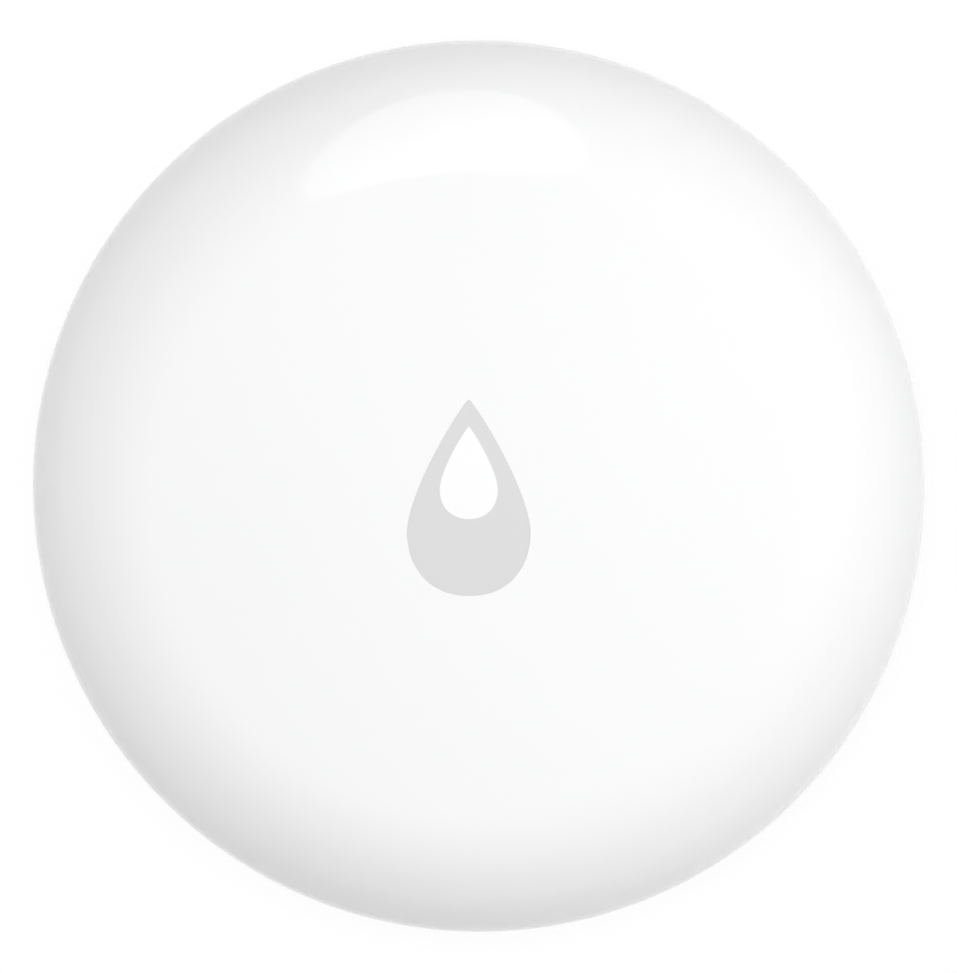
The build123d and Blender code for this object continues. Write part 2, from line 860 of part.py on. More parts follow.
# Battery can: the cell's lower cup, crimped inwards at its rim.
with BuildPart() as battery_can:
    with BuildSketch(Plane.XZ):
        ring_section(0, cell_radius, cell_bottom, crimp_top)
        ring_section(0, can_bore, cell_bottom + cell_sheet, crimp_bottom, Mode.SUBTRACT)
        ring_section(0, can_bore - cell_crimp, crimp_bottom, crimp_top, Mode.SUBTRACT)
    revolve(axis=Axis.Z)
    fillet(battery_can.faces().sort_by(Axis.Z)[0].edges(), radius=cell_corner)

battery_can.part.label = "battery_can"
export_step(battery_can.part, "parts/battery_can.step")

# Battery gasket: the plastic ring that insulates the cap from the can.
cap_radius = can_bore - cell_cap_step
cap_bottom = cell_bottom + cell_sheet + cell_gasket_floor
with BuildPart() as battery_gasket:
    with BuildSketch(Plane.XZ):
        ring_section(cap_radius - cell_cap_step, can_bore - rest_gap, cell_bottom + cell_sheet, cap_bottom)
        ring_section(cap_radius + rest_gap, can_bore - rest_gap, cap_bottom, crimp_bottom)
        ring_section(cap_radius + rest_gap, can_bore - cell_crimp - rest_gap, crimp_bottom, crimp_top)
    revolve(axis=Axis.Z)

battery_gasket.part.label = "battery_gasket"
export_step(battery_gasket.part, "parts/battery_gasket.step")

# Battery cap: the cell's upper cup, which is its negative pole.
with BuildPart() as battery_cap:
    with BuildSketch(Plane.XZ):
        ring_section(0, cap_radius, cap_bottom, cell_top)
        ring_section(0, cap_radius - cell_sheet, cap_bottom, cell_top - cell_sheet, Mode.SUBTRACT)
    revolve(axis=Axis.Z)
    fillet(battery_cap.faces().sort_by(Axis.Z)[-1].edges(), radius=cell_corner)

battery_cap.part.label = "battery_cap"
export_step(battery_cap.part, "parts/battery_cap.step")

# Battery holder: a moulded ring pegged to the board, with claws that catch the cell's edge.
holder_bottom = cell_bottom - claw_height
clip_bottom = board_bottom - clip_height
with BuildPart() as battery_holder:
    with BuildSketch(Plane.XZ):
        ring_section(holder_bore, holder_radius, holder_bottom, board_bottom)
        ring_section(0, holder_radius, board_bottom - holder_ceiling, board_bottom)
    revolve(axis=Axis.Z)
    with BuildSketch(Plane.XY.offset(holder_bottom)):
        with PolarLocations(0, claw_count, 180 / claw_count):
            ring_sector(cell_radius - claw_reach, holder_radius, 0, claw_arc)
    extrude(amount=claw_height)
    with BuildSketch(Plane.XY.offset(clip_bottom - leaf_room)):
        ring_sector(cell_radius, holder_radius + cut_overrun, tip_turn, clip_window_arc)
    extrude(amount=clip_height + leaf_room, mode=Mode.SUBTRACT)
    with BuildSketch(Plane.XY.offset(board_bottom)):
        with Locations((leaf_tail - leaf_length / 2, 0)):
            Rectangle(leaf_length + 2 * leaf_room, leaf_width + 2 * leaf_room)
    extrude(amount=-holder_ceiling, mode=Mode.SUBTRACT)
    with BuildSketch(Plane.XY.offset(board_bottom)):
        with Locations(*peg_places):
            Circle(peg_radius)
    extrude(amount=board_thickness + peg_stand)

battery_holder.part.label = "battery_holder"
export_step(battery_holder.part, "parts/battery_holder.step")

# Battery positive clip: a sprung strip against the can's side, with a leg through the board.
with BuildPart() as battery_positive_clip:
    with BuildSketch(Plane.XY.offset(clip_bottom)):
        ring_sector(clip_radius, clip_radius + clip_thickness, tip_turn, clip_arc)
    extrude(amount=clip_height - rest_gap)
    with BuildSketch(Plane.XY.offset(board_bottom - holder_ceiling)):
        with Locations((0, clip_radius + clip_thickness / 2)):
            Rectangle(leg_width, clip_thickness)
    extrude(amount=holder_ceiling + board_thickness + leg_stand)

battery_positive_clip.part.label = "battery_positive_clip"
export_step(battery_positive_clip.part, "parts/battery_positive_clip.step")

# Battery negative spring: a bent leaf under the board that presses on the cap.
leaf_root_level = board_bottom - rest_gap - leaf_thickness / 2
leaf_touch_level = cell_top + rest_gap + leaf_thickness / 2
with BuildPart() as battery_negative_spring:
    with BuildSketch(Plane.XZ):
        with BuildLine():
            Polyline(
                (-leaf_root, leaf_root_level),
                (leaf_tail - leaf_root, leaf_root_level),
                (0, leaf_touch_level),
                (leaf_tail, (leaf_root_level + leaf_touch_level) / 2),
            )
        trace(line_width=leaf_thickness)
    extrude(amount=leaf_width / 2, both=True)
    with BuildSketch(Plane.XY.offset(leaf_root_level)):
        with Locations((-leaf_root, 0)):
            Rectangle(leaf_thickness, leg_width)
    extrude(amount=board_top + leg_stand - leaf_root_level)

battery_negative_spring.part.label = "battery_negative_spring"
export_step(battery_negative_spring.part, "parts/battery_negative_spring.step")

# Contact barrels: two plated tubes soldered through the board, each with a narrow mouth.
with BuildPart() as contact_barrels:
    with BuildSketch(Plane.XY.offset(barrel_bottom)):
        with Locations(*probe_places):
            Circle(barrel_radius)
    extrude(amount=barrel_top - barrel_bottom)
    with BuildSketch(Plane.XY.offset(barrel_bottom + barrel_wall)):
        with Locations(*probe_places):
            Circle(barrel_bore)
    extrude(amount=chamber_top - barrel_bottom - barrel_wall, mode=Mode.SUBTRACT)
    with BuildSketch(Plane.XY.offset(barrel_bottom)):
        with Locations(*probe_places):
            Circle(pin_nose_radius + pin_fit)
    extrude(amount=barrel_wall, mode=Mode.SUBTRACT)

contact_barrels.part.label = "contact_barrels"
export_step(contact_barrels.part, "parts/contact_barrels.step")

# Contact pins: a gold plunger in each barrel that presses on its probe's insert.
for side, (place, row) in zip(("left", "right"), probe_places):
    with BuildPart() as contact_pin:
        with BuildSketch(Plane.XY.offset(pin_bottom)):
            with Locations((place, row)):
                Circle(pin_nose_radius)
        extrude(amount=piston_bottom - pin_bottom)
        fillet(contact_pin.faces().sort_by(Axis.Z)[0].edges(), radius=pin_nose_round)
        with BuildSketch(Plane.XY.offset(piston_bottom)):
            with Locations((place, row)):
                Circle(barrel_bore - pin_fit)
        extrude(amount=pin_piston)
    contact_pin.part.label = f"contact_pin_{side}"
    export_step(contact_pin.part, f"parts/contact_pin_{side}.step")

# Contact springs: one wound wire in each barrel, between the pin and the barrel's closed end.
spring_rise = chamber_top - piston_top - spring_wire - 2 * rest_gap
for side, (place, row) in zip(("left", "right"), probe_places):
    with BuildPart() as contact_spring:
        with BuildLine() as wire_path:
            foot = (place, row, piston_top + rest_gap + spring_wire / 2)
            Helix(spring_pitch, spring_rise, spring_radius, center=foot)
        with BuildSketch(Plane(wire_path.line @ 0, z_dir=wire_path.line % 0)):
            Circle(spring_wire / 2)
        sweep(path=wire_path.line, is_frenet=True)
    contact_spring.part.label = f"contact_spring_{side}"
    export_step(contact_spring.part, f"parts/contact_spring_{side}.step")

# Battery cover: the round lid with its threaded skirt, screw bosses and coin slot.
with BuildPart() as battery_cover:
    with BuildSketch(Plane.XZ):
        ring_section(0, cover_radius, underside, cover_inside)
        ring_section(skirt_bore, skirt_radius, underside, skirt_top)
        ring_section(skirt_bore, skirt_radius + bead_reach, bead_level, bead_level + bead_height)
    revolve(axis=Axis.Z)
    lug = thread_rib(skirt_radius - lug_clearance, lug_radius, lug_level, lug_height, lug_lag, lug_arc)
    with PolarLocations(0, thread_starts):
        add(lug)
    with BuildSketch(Plane.XY.offset(underside)):
        with Locations(*probe_places):
            Circle(probe_boss_radius)
    extrude(amount=boss_top - underside)
    with BuildSketch(Plane.XY.offset(underside)):
        with Locations(*probe_places):
            Circle(probe_head_radius + probe_recess_clearance)
    extrude(amount=probe_ceiling - underside, mode=Mode.SUBTRACT)
    with BuildSketch(Plane.XY.offset(probe_ceiling)):
        with Locations(*probe_places):
            Circle(probe_shank_radius + probe_hole_fit)
    extrude(amount=insert_seat, mode=Mode.SUBTRACT)
    with BuildSketch(Plane.XY.offset(insert_bottom)):
        with Locations(*probe_places):
            Circle(insert_radius + insert_fit)
    extrude(amount=insert_length, mode=Mode.SUBTRACT)
    with BuildSketch(Plane.XY.offset(underside)):
        SlotOverall(coin_slot_length, coin_slot_width, rotation=tip_turn)
    extrude(amount=coin_slot_depth, mode=Mode.SUBTRACT)
    with BuildSketch(Plane.XY.offset(underside)):
        with Locations((0, 3 * mark_dot_radius - cover_radius)):
            Circle(mark_dot_radius)
    extrude(amount=mark_dot_depth, mode=Mode.SUBTRACT)

battery_cover.part.label = "battery_cover"
export_step(battery_cover.part, "parts/battery_cover.step")

# Battery cushion: the foam disc that keeps the cell from rattling.
with BuildPart() as battery_cushion:
    with BuildSketch(Plane.XY.offset(cover_inside)):
        Circle(cushion_radius)
    extrude(amount=cell_gap - cushion_relief)

battery_cushion.part.label = "battery_cushion"
export_step(battery_cushion.part, "parts/battery_cushion.step")

# Probe inserts: two closed brass nuts moulded into the cover's bosses.
with BuildPart() as probe_inserts:
    with BuildSketch(Plane.XY.offset(insert_bottom)):
        with Locations(*probe_places):
            Circle(insert_radius)
    extrude(amount=insert_length)
    with BuildSketch(Plane.XY.offset(insert_bottom)):
        with Locations(*probe_places):
            Circle(probe_shank_radius + thread_fit)
    extrude(amount=insert_length - insert_end, mode=Mode.SUBTRACT)

probe_inserts.part.label = "probe_inserts"
export_step(probe_inserts.part, "parts/probe_inserts.step")

# Probe screws: two steel pan-head screws, whose heads are the electrodes above the floor.
with BuildPart() as probe_screws:
    with BuildSketch(Plane.XY.offset(probe_stand)):
        with Locations(*probe_places):
            Circle(probe_head_radius)
    extrude(amount=probe_head)
    fillet(probe_screws.faces().group_by(Axis.Z)[0].edges(), radius=probe_round)
    with BuildSketch(Plane.XY.offset(probe_head_top)):
        with Locations(*probe_places):
            Circle(probe_shank_radius)
    extrude(amount=insert_top - insert_end - rest_gap - probe_head_top)
    with BuildSketch(Plane.XY.offset(probe_stand)):
        with Locations(*probe_places):
            cross_outline(probe_head_radius)
    extrude(amount=cross_depth_share * probe_head, mode=Mode.SUBTRACT)

probe_screws.part.label = "probe_screws"
export_step(probe_screws.part, "parts/probe_screws.step")

# Probe seals: a rubber washer under each head.
with BuildPart() as probe_seals:
    with BuildSketch(Plane.XY.offset(probe_head_top)):
        with Locations(*probe_places):
            Circle(probe_head_radius + probe_seal_margin)
            Circle(probe_shank_radius + probe_seal_margin, mode=Mode.SUBTRACT)
    extrude(amount=probe_seal)

probe_seals.part.label = "probe_seals"
export_step(probe_seals.part, "parts/probe_seals.step")

# Cover seal: the rubber ring on the cover's skirt, below the thread.
with BuildPart() as cover_seal:
    with BuildSketch(Plane.XZ):
        with Locations(((skirt_radius + neck_bore) / 2, cover_seal_level)):
            Circle(cover_seal_section)
    revolve(axis=Axis.Z)

cover_seal.part.label = "cover_seal"
export_step(cover_seal.part, "parts/cover_seal.step")


def least_coil_gap():
    """Least clear distance of a contact spring's wire to its own next turn, on sampled points."""
    turns = spring_rise / spring_pitch
    steps = 60
    points = []
    for step in range(int(turns * steps) + 1):
        angle = 2 * pi * step / steps
        height = spring_pitch * step / steps
        points.append((spring_radius * cos(angle), spring_radius * sin(angle), height))
    gaps = []
    for first in range(len(points)):
        for second in range(first + steps // 2, len(points)):
            (x1, y1, z1), (x2, y2, z2) = points[first], points[second]
            gaps.append(hypot(x2 - x1, y2 - y1, z2 - z1))
    return min(gaps) - spring_wire


print(f"contact spring, least gap to itself: {least_coil_gap():.2f} mm")
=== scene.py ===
from math import acos, atan2, ceil, cos, hypot, pi, radians, sin, sqrt, tan

import bmesh
import bpy
from mathutils import Matrix, Vector
from mathutils.geometry import interpolate_bezier


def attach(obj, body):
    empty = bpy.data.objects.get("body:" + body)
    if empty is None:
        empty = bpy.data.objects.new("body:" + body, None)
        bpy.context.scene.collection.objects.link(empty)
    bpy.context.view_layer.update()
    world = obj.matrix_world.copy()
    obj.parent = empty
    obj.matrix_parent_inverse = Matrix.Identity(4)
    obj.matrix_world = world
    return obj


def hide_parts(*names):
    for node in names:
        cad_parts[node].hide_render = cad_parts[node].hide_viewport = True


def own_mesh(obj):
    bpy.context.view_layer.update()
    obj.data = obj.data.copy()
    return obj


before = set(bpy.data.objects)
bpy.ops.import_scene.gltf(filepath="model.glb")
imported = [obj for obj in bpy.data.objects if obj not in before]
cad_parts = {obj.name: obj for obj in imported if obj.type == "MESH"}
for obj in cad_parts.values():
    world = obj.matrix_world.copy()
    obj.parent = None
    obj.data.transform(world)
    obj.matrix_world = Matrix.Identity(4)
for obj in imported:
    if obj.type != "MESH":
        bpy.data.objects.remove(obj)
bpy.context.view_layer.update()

# The camera: a long lens almost straight above the sensor. It leans a little towards the
# upper right corner of the picture, and the tip of the drop points up.
mm = 0.001
look_level = 5.05 * mm
camera_distance = 1200 * mm
camera_lean = radians(4.8)
camera_turn = radians(49.5)
lens_length = 793
nearest_seen = 120 * mm
farthest_seen = 12000 * mm

scene = bpy.context.scene
lens = bpy.data.cameras.new("camera")
lens.lens = lens_length
lens.clip_start = nearest_seen
lens.clip_end = farthest_seen
camera = bpy.data.objects.new("camera", lens)
scene.collection.objects.link(camera)
side = Vector((cos(camera_turn), sin(camera_turn), 0))
sight = side * sin(camera_lean) + Vector((0, 0, cos(camera_lean)))
across = Vector((0, 1, 0)).cross(sight).normalized()
turn = Matrix((across, sight.cross(across), sight)).transposed().to_4x4()
camera.matrix_world = Matrix.Translation(Vector((0, 0, look_level)) + camera_distance * sight) @ turn
scene.camera = camera
scene.view_settings.view_transform = "Standard"

# The floor: a plain white sheet that reaches past every view. It takes the sensor's soft
# shadow, and is lifted to white where it is looked at, so that it throws no more light back.
floor_reach = 6
floor_steps = 64
floor_white = 0.88
floor_lift = 0.88
lift_strength = 1.02


class Wire:
    """A socket among a finish's nodes. Arithmetic on it adds Math nodes."""

    def __init__(self, finish, socket):
        self.finish = finish
        self.socket = socket

    def maths(self, operation, *values):
        return self.finish.node("ShaderNodeMath", {"operation": operation}, dict(enumerate(values)))

    def __add__(self, other):
        return self.maths("ADD", self, other)

    def __radd__(self, other):
        return self.maths("ADD", other, self)

    def __sub__(self, other):
        return self.maths("SUBTRACT", self, other)

    def __rsub__(self, other):
        return self.maths("SUBTRACT", other, self)

    def __mul__(self, other):
        return self.maths("MULTIPLY", self, other)

    def __rmul__(self, other):
        return self.maths("MULTIPLY", other, self)

    def __pow__(self, other):
        return self.maths("POWER", self, other)

    def most(self, other):
        return self.maths("MAXIMUM", self, other)


class Finish:
    """A material or world in the making, whose nodes are added one by one."""

    def __init__(self, name, kind=bpy.data.materials):
        self.made = kind.new(name)
        self.made.use_nodes = True
        self.tree = self.made.node_tree
        self.tree.nodes.clear()

    def node(self, kind, settings=None, inputs=None, output=0):
        """Adds a node with its settings, then its sockets' values or wires, and gives an output."""
        made = self.tree.nodes.new(kind)
        for name, value in (settings or {}).items():
            setattr(made, name, value)
        for name, value in (inputs or {}).items():
            if isinstance(value, Wire):
                self.tree.links.new(value.socket, made.inputs[name])
            else:
                made.inputs[name].default_value = value
        return Wire(self, made.outputs[output]) if made.outputs else None

    def place(self, stretch=(1, 1, 1)):
        """Coordinates on the piece, in metres, stretched along the axes if need be."""
        where = self.node("ShaderNodeTexCoord", output="Object")
        if stretch == (1, 1, 1):
            return where
        return self.node("ShaderNodeMapping", None, {"Vector": where, "Scale": stretch})

    def noise(self, size, detail=3, stretch=(1, 1, 1)):
        """Soft noise from 0 to 1, with blotches of a size in metres."""
        settings = {"noise_dimensions": "3D"}
        values = {"Vector": self.place(stretch), "Scale": 1 / size, "Detail": detail}
        return self.node("ShaderNodeTexNoise", settings, values)

    def seen(self):
        """1 where the camera, a mirror or a clear part looks straight at the surface, else 0."""
        camera_ray = self.node("ShaderNodeLightPath", output="Is Camera Ray")
        mirror_ray = self.node("ShaderNodeLightPath", output="Is Glossy Ray")
        clear_ray = self.node("ShaderNodeLightPath", output="Is Transmission Ray")
        return camera_ray.most(mirror_ray).most(clear_ray)

    def ramp(self, value, low, high):
        """Value spread from 0 at low to 1 at high, and held beyond them."""
        inputs = {"Value": value, "From Min": low, "From Max": high}
        return self.node("ShaderNodeMapRange", {"interpolation_type": "SMOOTHSTEP"}, inputs)

    def tint(self, share, first, second):
        """Colour between two, by a share from 0 to 1."""
        inputs = {0: share, 6: (*first, 1), 7: (*second, 1)}
        return self.node("ShaderNodeMix", {"data_type": "RGBA"}, inputs, output=2)

    def bump(self, height, depth):
        """Normal of a surface whose relief is height, from 0 to 1, times a depth in metres."""
        return self.node("ShaderNodeBump", None, {"Strength": 1.0, "Distance": depth, "Height": height})

    def surface(self, **sockets):
        """Ends the finish in the usual shader, with its sockets by their names."""
        titles = [name.replace("_", " ").title().replace("Ior", "IOR") for name in sockets]
        shader = self.node("ShaderNodeBsdfPrincipled", None, dict(zip(titles, sockets.values())))
        self.node("ShaderNodeOutputMaterial", None, {"Surface": shader})
        return self.made


floor_shape = bmesh.new()
bmesh.ops.create_circle(
    floor_shape, cap_ends=True, cap_tris=False, segments=floor_steps, radius=floor_reach
)
floor_mesh = bpy.data.meshes.new("floor")
floor_shape.to_mesh(floor_mesh)
floor_shape.free()
floor = bpy.data.objects.new("floor", floor_mesh)
scene.collection.objects.link(floor)
paper = Finish("floor_paper")
seen = paper.seen()
sheet = paper.node("ShaderNodeBsdfDiffuse", None, {"Color": (floor_white, floor_white, floor_white, 1)})
lift = paper.node("ShaderNodeEmission", None, {"Color": (1, 1, 1, 1), "Strength": lift_strength})
both = paper.node("ShaderNodeMixShader", None, {0: seen * floor_lift, 1: sheet, 2: lift})
paper.node("ShaderNodeOutputMaterial", None, {"Surface": both})
floor_mesh.materials.append(paper.made)

# The light: a soft surround of two broad glows, one from above and a weaker one from low on
# the right. A panel behind shows as the bright lens on the dome's shoulder.
glow_places = [(radians(4), radians(2)), (radians(110), radians(84))]
glow_strengths = [2.7, 4.88]
glow_narrowness = 8
backdrop = 0.7
panel_turn = radians(98)
panel_rise = radians(36)
panel_roll = radians(-9)
panel_distance = 700 * mm
panel_width = 470 * mm
panel_height = 940 * mm
panel_radiance = 1.2


def toward(turn, rise):
    """Direction at an angle from X round Z, and at a rise above the floor."""
    return Matrix.Rotation(turn, 3, "Z") @ Matrix.Rotation(-rise, 3, "Y") @ Vector((1, 0, 0))


sky = Finish("surround", bpy.data.worlds)
seen = sky.seen()
look = sky.node("ShaderNodeTexCoord", output="Generated")
glow = 0
for place, strength in zip(glow_places, glow_strengths):
    source = toward(*place)
    share = sky.node("ShaderNodeVectorMath", {"operation": "DOT_PRODUCT"}, {0: look, 1: source}, "Value")
    glow = share.most(0.0) ** glow_narrowness * strength + glow
light = glow * (1 - seen) + seen * backdrop
surround = sky.node("ShaderNodeBackground", None, {"Color": (1, 1, 1, 1), "Strength": light})
sky.node("ShaderNodeOutputWorld", None, {"Surface": surround})
scene.world = sky.made

lamp = bpy.data.lights.new("panel_behind", "AREA")
lamp.shape = "ELLIPSE"
lamp.size = panel_width
lamp.size_y = panel_height
lamp.energy = panel_radiance * pi * (pi * panel_width * panel_height / 4)
panel = bpy.data.objects.new("panel_behind", lamp)
source = toward(panel_turn, panel_rise)
facing = source.to_track_quat("Z", "Y").to_matrix() @ Matrix.Rotation(panel_roll, 3, "Z")
panel.matrix_world = Matrix.Translation(source * panel_distance) @ facing.to_4x4()
panel.visible_camera = False
panel.visible_diffuse = False
scene.collection.objects.link(panel)

# Base shell: the satin white underside of the housing, moulded in one piece. Its flank runs
# up to the seam, and inside it has a spigot, a threaded neck and three screw bosses.
spin_steps = 192
edge_round = 0.12 * mm
arc_turn = radians(15)
underside = 0.8 * mm
base_floor = 2.4 * mm
seam_level = 4.3 * mm
base_radius = 24.7 * mm
underside_radius = 21.7 * mm
flank_handle = 23.89 * mm
flank_rise = 2.2 * mm
spigot_radius = 23.3 * mm
spigot_bore = 21.9 * mm
spigot_top = 6.8 * mm
groove_radius = 22.55 * mm
groove_level = 5.4 * mm
groove_half = 0.495 * mm
recess_radius = 18.45 * mm
recess_ceiling = 2.45 * mm
band_radius = 19.8 * mm
neck_radius = 18.5 * mm
neck_bore = 17.2 * mm
neck_shoulder = 3.75 * mm
board_bottom = 7.0 * mm
thread_lead = 12 * mm
thread_starts = 3
thread_steps = 12
ledge_bore = 16.3 * mm
ledge_level = 3.55 * mm
ledge_height = 0.8 * mm
ledge_arc = radians(40)
boss_circle = 20.2 * mm
boss_radius = 1.5 * mm
foot_circle = 20.075 * mm
foot_width = 1.8 * mm
foot_arc = radians(26)
thirds = [radians(90), radians(210), radians(330)]
foot_bed = 0.3 * mm
foot_fit = 0.05 * mm
dot_radius = 0.5 * mm
dot_depth = 0.2 * mm
dot_circle = 19.95 * mm
dot_turns = [radians(270), radians(234)]
overrun = 0.5 * mm
sunk = 0.05 * mm
weld = 0.0005 * mm
sharp_angle = radians(35)
flank_steps = 24


def rounded(corners):
    """Outline through corners given as (x, y, rounding), with each rounding as an arc."""
    outline = []
    for index, (x, y, rounding) in enumerate(corners):
        corner = Vector((x, y))
        if not rounding:
            outline.append(corner)
            continue
        back = (Vector(corners[index - 1][:2]) - corner).normalized()
        on = (Vector(corners[(index + 1) % len(corners)][:2]) - corner).normalized()
        opening = back.angle(on)
        centre = corner + (back + on).normalized() * rounding / sin(opening / 2)
        arm = corner + back * rounding / tan(opening / 2) - centre
        bend = pi - opening if on.cross(back) > 0 else opening - pi
        steps = max(2, ceil(abs(bend) / arc_turn))
        outline += [centre + Matrix.Rotation(bend * step / steps, 2) @ arm for step in range(steps + 1)]
    return outline


def loop_of(shape, points, closed=True):
    """Edges through points in space, added to a shape."""
    verts = [shape.verts.new(point) for point in points]
    pairs = list(zip(verts, verts[1:] + verts[:1]))
    return [shape.edges.new(pair) for pair in (pairs if closed else pairs[:-1])]


def turned(outline, closed=True, steps=spin_steps, middle=(0, 0)):
    """Solid of revolution about an upright axis, from an outline of radii and levels."""
    shape = bmesh.new()
    edges = loop_of(shape, [(point[0], 0, point[1]) for point in outline], closed)
    bmesh.ops.spin(
        shape,
        geom=list(shape.verts) + edges,
        axis=(0, 0, 1),
        cent=(0, 0, 0),
        dvec=(0, 0, 0),
        angle=2 * pi,
        steps=steps,
        use_merge=True,
    )
    bmesh.ops.remove_doubles(shape, verts=shape.verts, dist=weld)
    bmesh.ops.recalc_face_normals(shape, faces=shape.faces)
    bmesh.ops.translate(shape, verts=shape.verts, vec=(*middle, 0))
    return shape


def joined(shape, *others):
    """A shape with other shapes' meshes added to it."""
    for other in others:
        mesh = bpy.data.meshes.new("joint")
        other.to_mesh(mesh)
        other.free()
        shape.from_mesh(mesh)
        bpy.data.meshes.remove(mesh)
    return shape


def prism(shape, points, height):
    """Closed upright prism on a flat outline of points, added to a shape."""
    face = bmesh.ops.contextual_create(shape, geom=loop_of(shape, points))["faces"]
    lifted = bmesh.ops.extrude_face_region(shape, geom=face, use_keep_orig=True)["geom"]
    verts = [part for part in lifted if isinstance(part, bmesh.types.BMVert)]
    bmesh.ops.translate(shape, verts=verts, vec=(0, 0, height))
    whole = face + list({part for vert in verts for part in vert.link_faces})
    bmesh.ops.recalc_face_normals(shape, faces=whole)
    return whole


def disc_points(x, y, level, radius, steps=32):
    """Points round a circle at a level."""
    turns = [2 * pi * step / steps for step in range(steps)]
    return [(x + radius * cos(turn), y + radius * sin(turn), level) for turn in turns]


def slot_points(level, circle, width, middle, arc):
    """Points round a bent slot with half-round ends, which follows a circle about Z."""
    steps = 16
    points = []
    for radius, start, sweep in ((circle + width / 2, -arc / 2, arc), (circle - width / 2, arc / 2, -arc)):
        for step in range(steps + 1):
            turn = middle + start + sweep * step / steps
            points.append((radius * cos(turn), radius * sin(turn), level))
        end = middle - start
        for step in range(1, steps):
            spread = end + (0 if sweep > 0 else pi) + pi * step / steps
            x = circle * cos(end) + width / 2 * cos(spread)
            y = circle * sin(end) + width / 2 * sin(spread)
            points.append((x, y, level))
    return points


def rib(shape, inner, outer, bottom, height, start, arc):
    """One helical rib of the quick thread, added to a shape as a closed solid."""
    corners = [(inner, bottom), (outer, bottom), (outer, bottom + height), (inner, bottom + height)]
    points = [(radius * cos(start), radius * sin(start), level) for radius, level in corners]
    face = bmesh.ops.contextual_create(shape, geom=loop_of(shape, points))["faces"]
    geom = face + [part for one in face for part in list(one.edges) + list(one.verts)]
    before = set(shape.faces)
    bmesh.ops.spin(
        shape,
        geom=geom,
        axis=(0, 0, 1),
        cent=(0, 0, 0),
        dvec=(0, 0, thread_lead * arc / (2 * pi) / thread_steps),
        angle=arc,
        steps=thread_steps,
        use_merge=False,
    )
    whole = [part for part in shape.faces if part not in before] + [part for part in face if part.is_valid]
    bmesh.ops.recalc_face_normals(shape, faces=whole)


def cut(shape, cutter):
    """Takes a cutter's solids out of a shape, and gives the shape that is left."""
    pair = []
    for name, solid in (("blank", shape), ("cutter", cutter)):
        mesh = bpy.data.meshes.new(name)
        solid.to_mesh(mesh)
        solid.free()
        pair.append(bpy.data.objects.new(name, mesh))
        scene.collection.objects.link(pair[-1])
    work = pair[0].modifiers.new("cut", "BOOLEAN")
    work.operation = "DIFFERENCE"
    work.solver = "EXACT"
    work.object = pair[1]
    left = bmesh.new()
    left.from_mesh(pair[0].evaluated_get(bpy.context.evaluated_depsgraph_get()).to_mesh())
    for used in pair:
        mesh = used.data
        bpy.data.objects.remove(used)
        bpy.data.meshes.remove(mesh)
    return left


def finished(name, shape, material, body, slot, *nodes, level_faces=True):
    """Makes a shape a piece that rides on a body and stands for nodes of the frame."""
    mesh = bpy.data.meshes.new(name)
    shape.to_mesh(mesh)
    shape.free()
    mesh.shade_smooth()
    mesh.set_sharp_from_angle(angle=sharp_angle)
    mesh.materials.append(material)
    made = bpy.data.objects.new(name, mesh)
    scene.collection.objects.link(made)
    if level_faces:
        normals = made.modifiers.new("level_faces", "WEIGHTED_NORMAL")
        normals.keep_sharp = True
    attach(made, body)
    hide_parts(*nodes)
    return made


flank = interpolate_bezier(
    (underside_radius, underside),
    (flank_handle, underside),
    (base_radius, flank_rise),
    (base_radius, seam_level),
    flank_steps,
)
base_outline = rounded(
    [(point[0], point[1], 0) for point in flank[:-1]]
    + [
        (base_radius, seam_level, edge_round),
        (spigot_radius, seam_level, 0),
        (spigot_radius, groove_level - groove_half, 0),
        (groove_radius, groove_level - groove_half, 0),
        (groove_radius, groove_level + groove_half, 0),
        (spigot_radius, groove_level + groove_half, 0),
        (spigot_radius, spigot_top, edge_round),
        (spigot_bore, spigot_top, edge_round),
        (spigot_bore, base_floor, edge_round),
        (band_radius, base_floor, edge_round),
        (band_radius, neck_shoulder, edge_round),
        (neck_radius, neck_shoulder, edge_round),
        (neck_radius, board_bottom, 0),
        (neck_bore, board_bottom, 0),
        (neck_bore, recess_ceiling, 0),
        (recess_radius, recess_ceiling, edge_round),
        (recess_radius, underside, edge_round),
    ]
)
base = turned(base_outline)
base_cutter = bmesh.new()
for turn in thirds:
    bed = slot_points(underside - overrun, foot_circle, foot_width + 2 * foot_fit, turn, foot_arc)
    prism(base_cutter, bed, foot_bed + overrun)
for turn in dot_turns:
    dot = disc_points(dot_circle * cos(turn), dot_circle * sin(turn), underside - overrun, dot_radius)
    prism(base_cutter, dot, dot_depth + overrun)
base = cut(base, base_cutter)
for start in range(thread_starts):
    turn = 2 * pi * start / thread_starts
    rib(base, ledge_bore, neck_bore + sunk, ledge_level, ledge_height, turn, ledge_arc)
for turn in thirds:
    boss = disc_points(boss_circle * cos(turn), boss_circle * sin(turn), base_floor - sunk, boss_radius)
    prism(base, boss, board_bottom - base_floor + sunk)


def moulded(name, colour, shade, gloss, grain, depth):
    """Finish of a moulded plastic: two close tones, a gloss that varies, and a fine grain."""
    plastic = Finish(name)
    cloud = plastic.noise(size=9 * mm, detail=2)
    rubbed = plastic.ramp(plastic.noise(2.4 * mm, detail=4, stretch=(1, 0.22, 1)), low=0.52, high=0.75)
    return plastic.surface(
        base_color=plastic.tint(cloud, colour, shade),
        roughness=gloss + rubbed * 0.05 + (cloud - 0.5) * 0.03,
        normal=plastic.bump(plastic.noise(grain, detail=2), depth),
    )


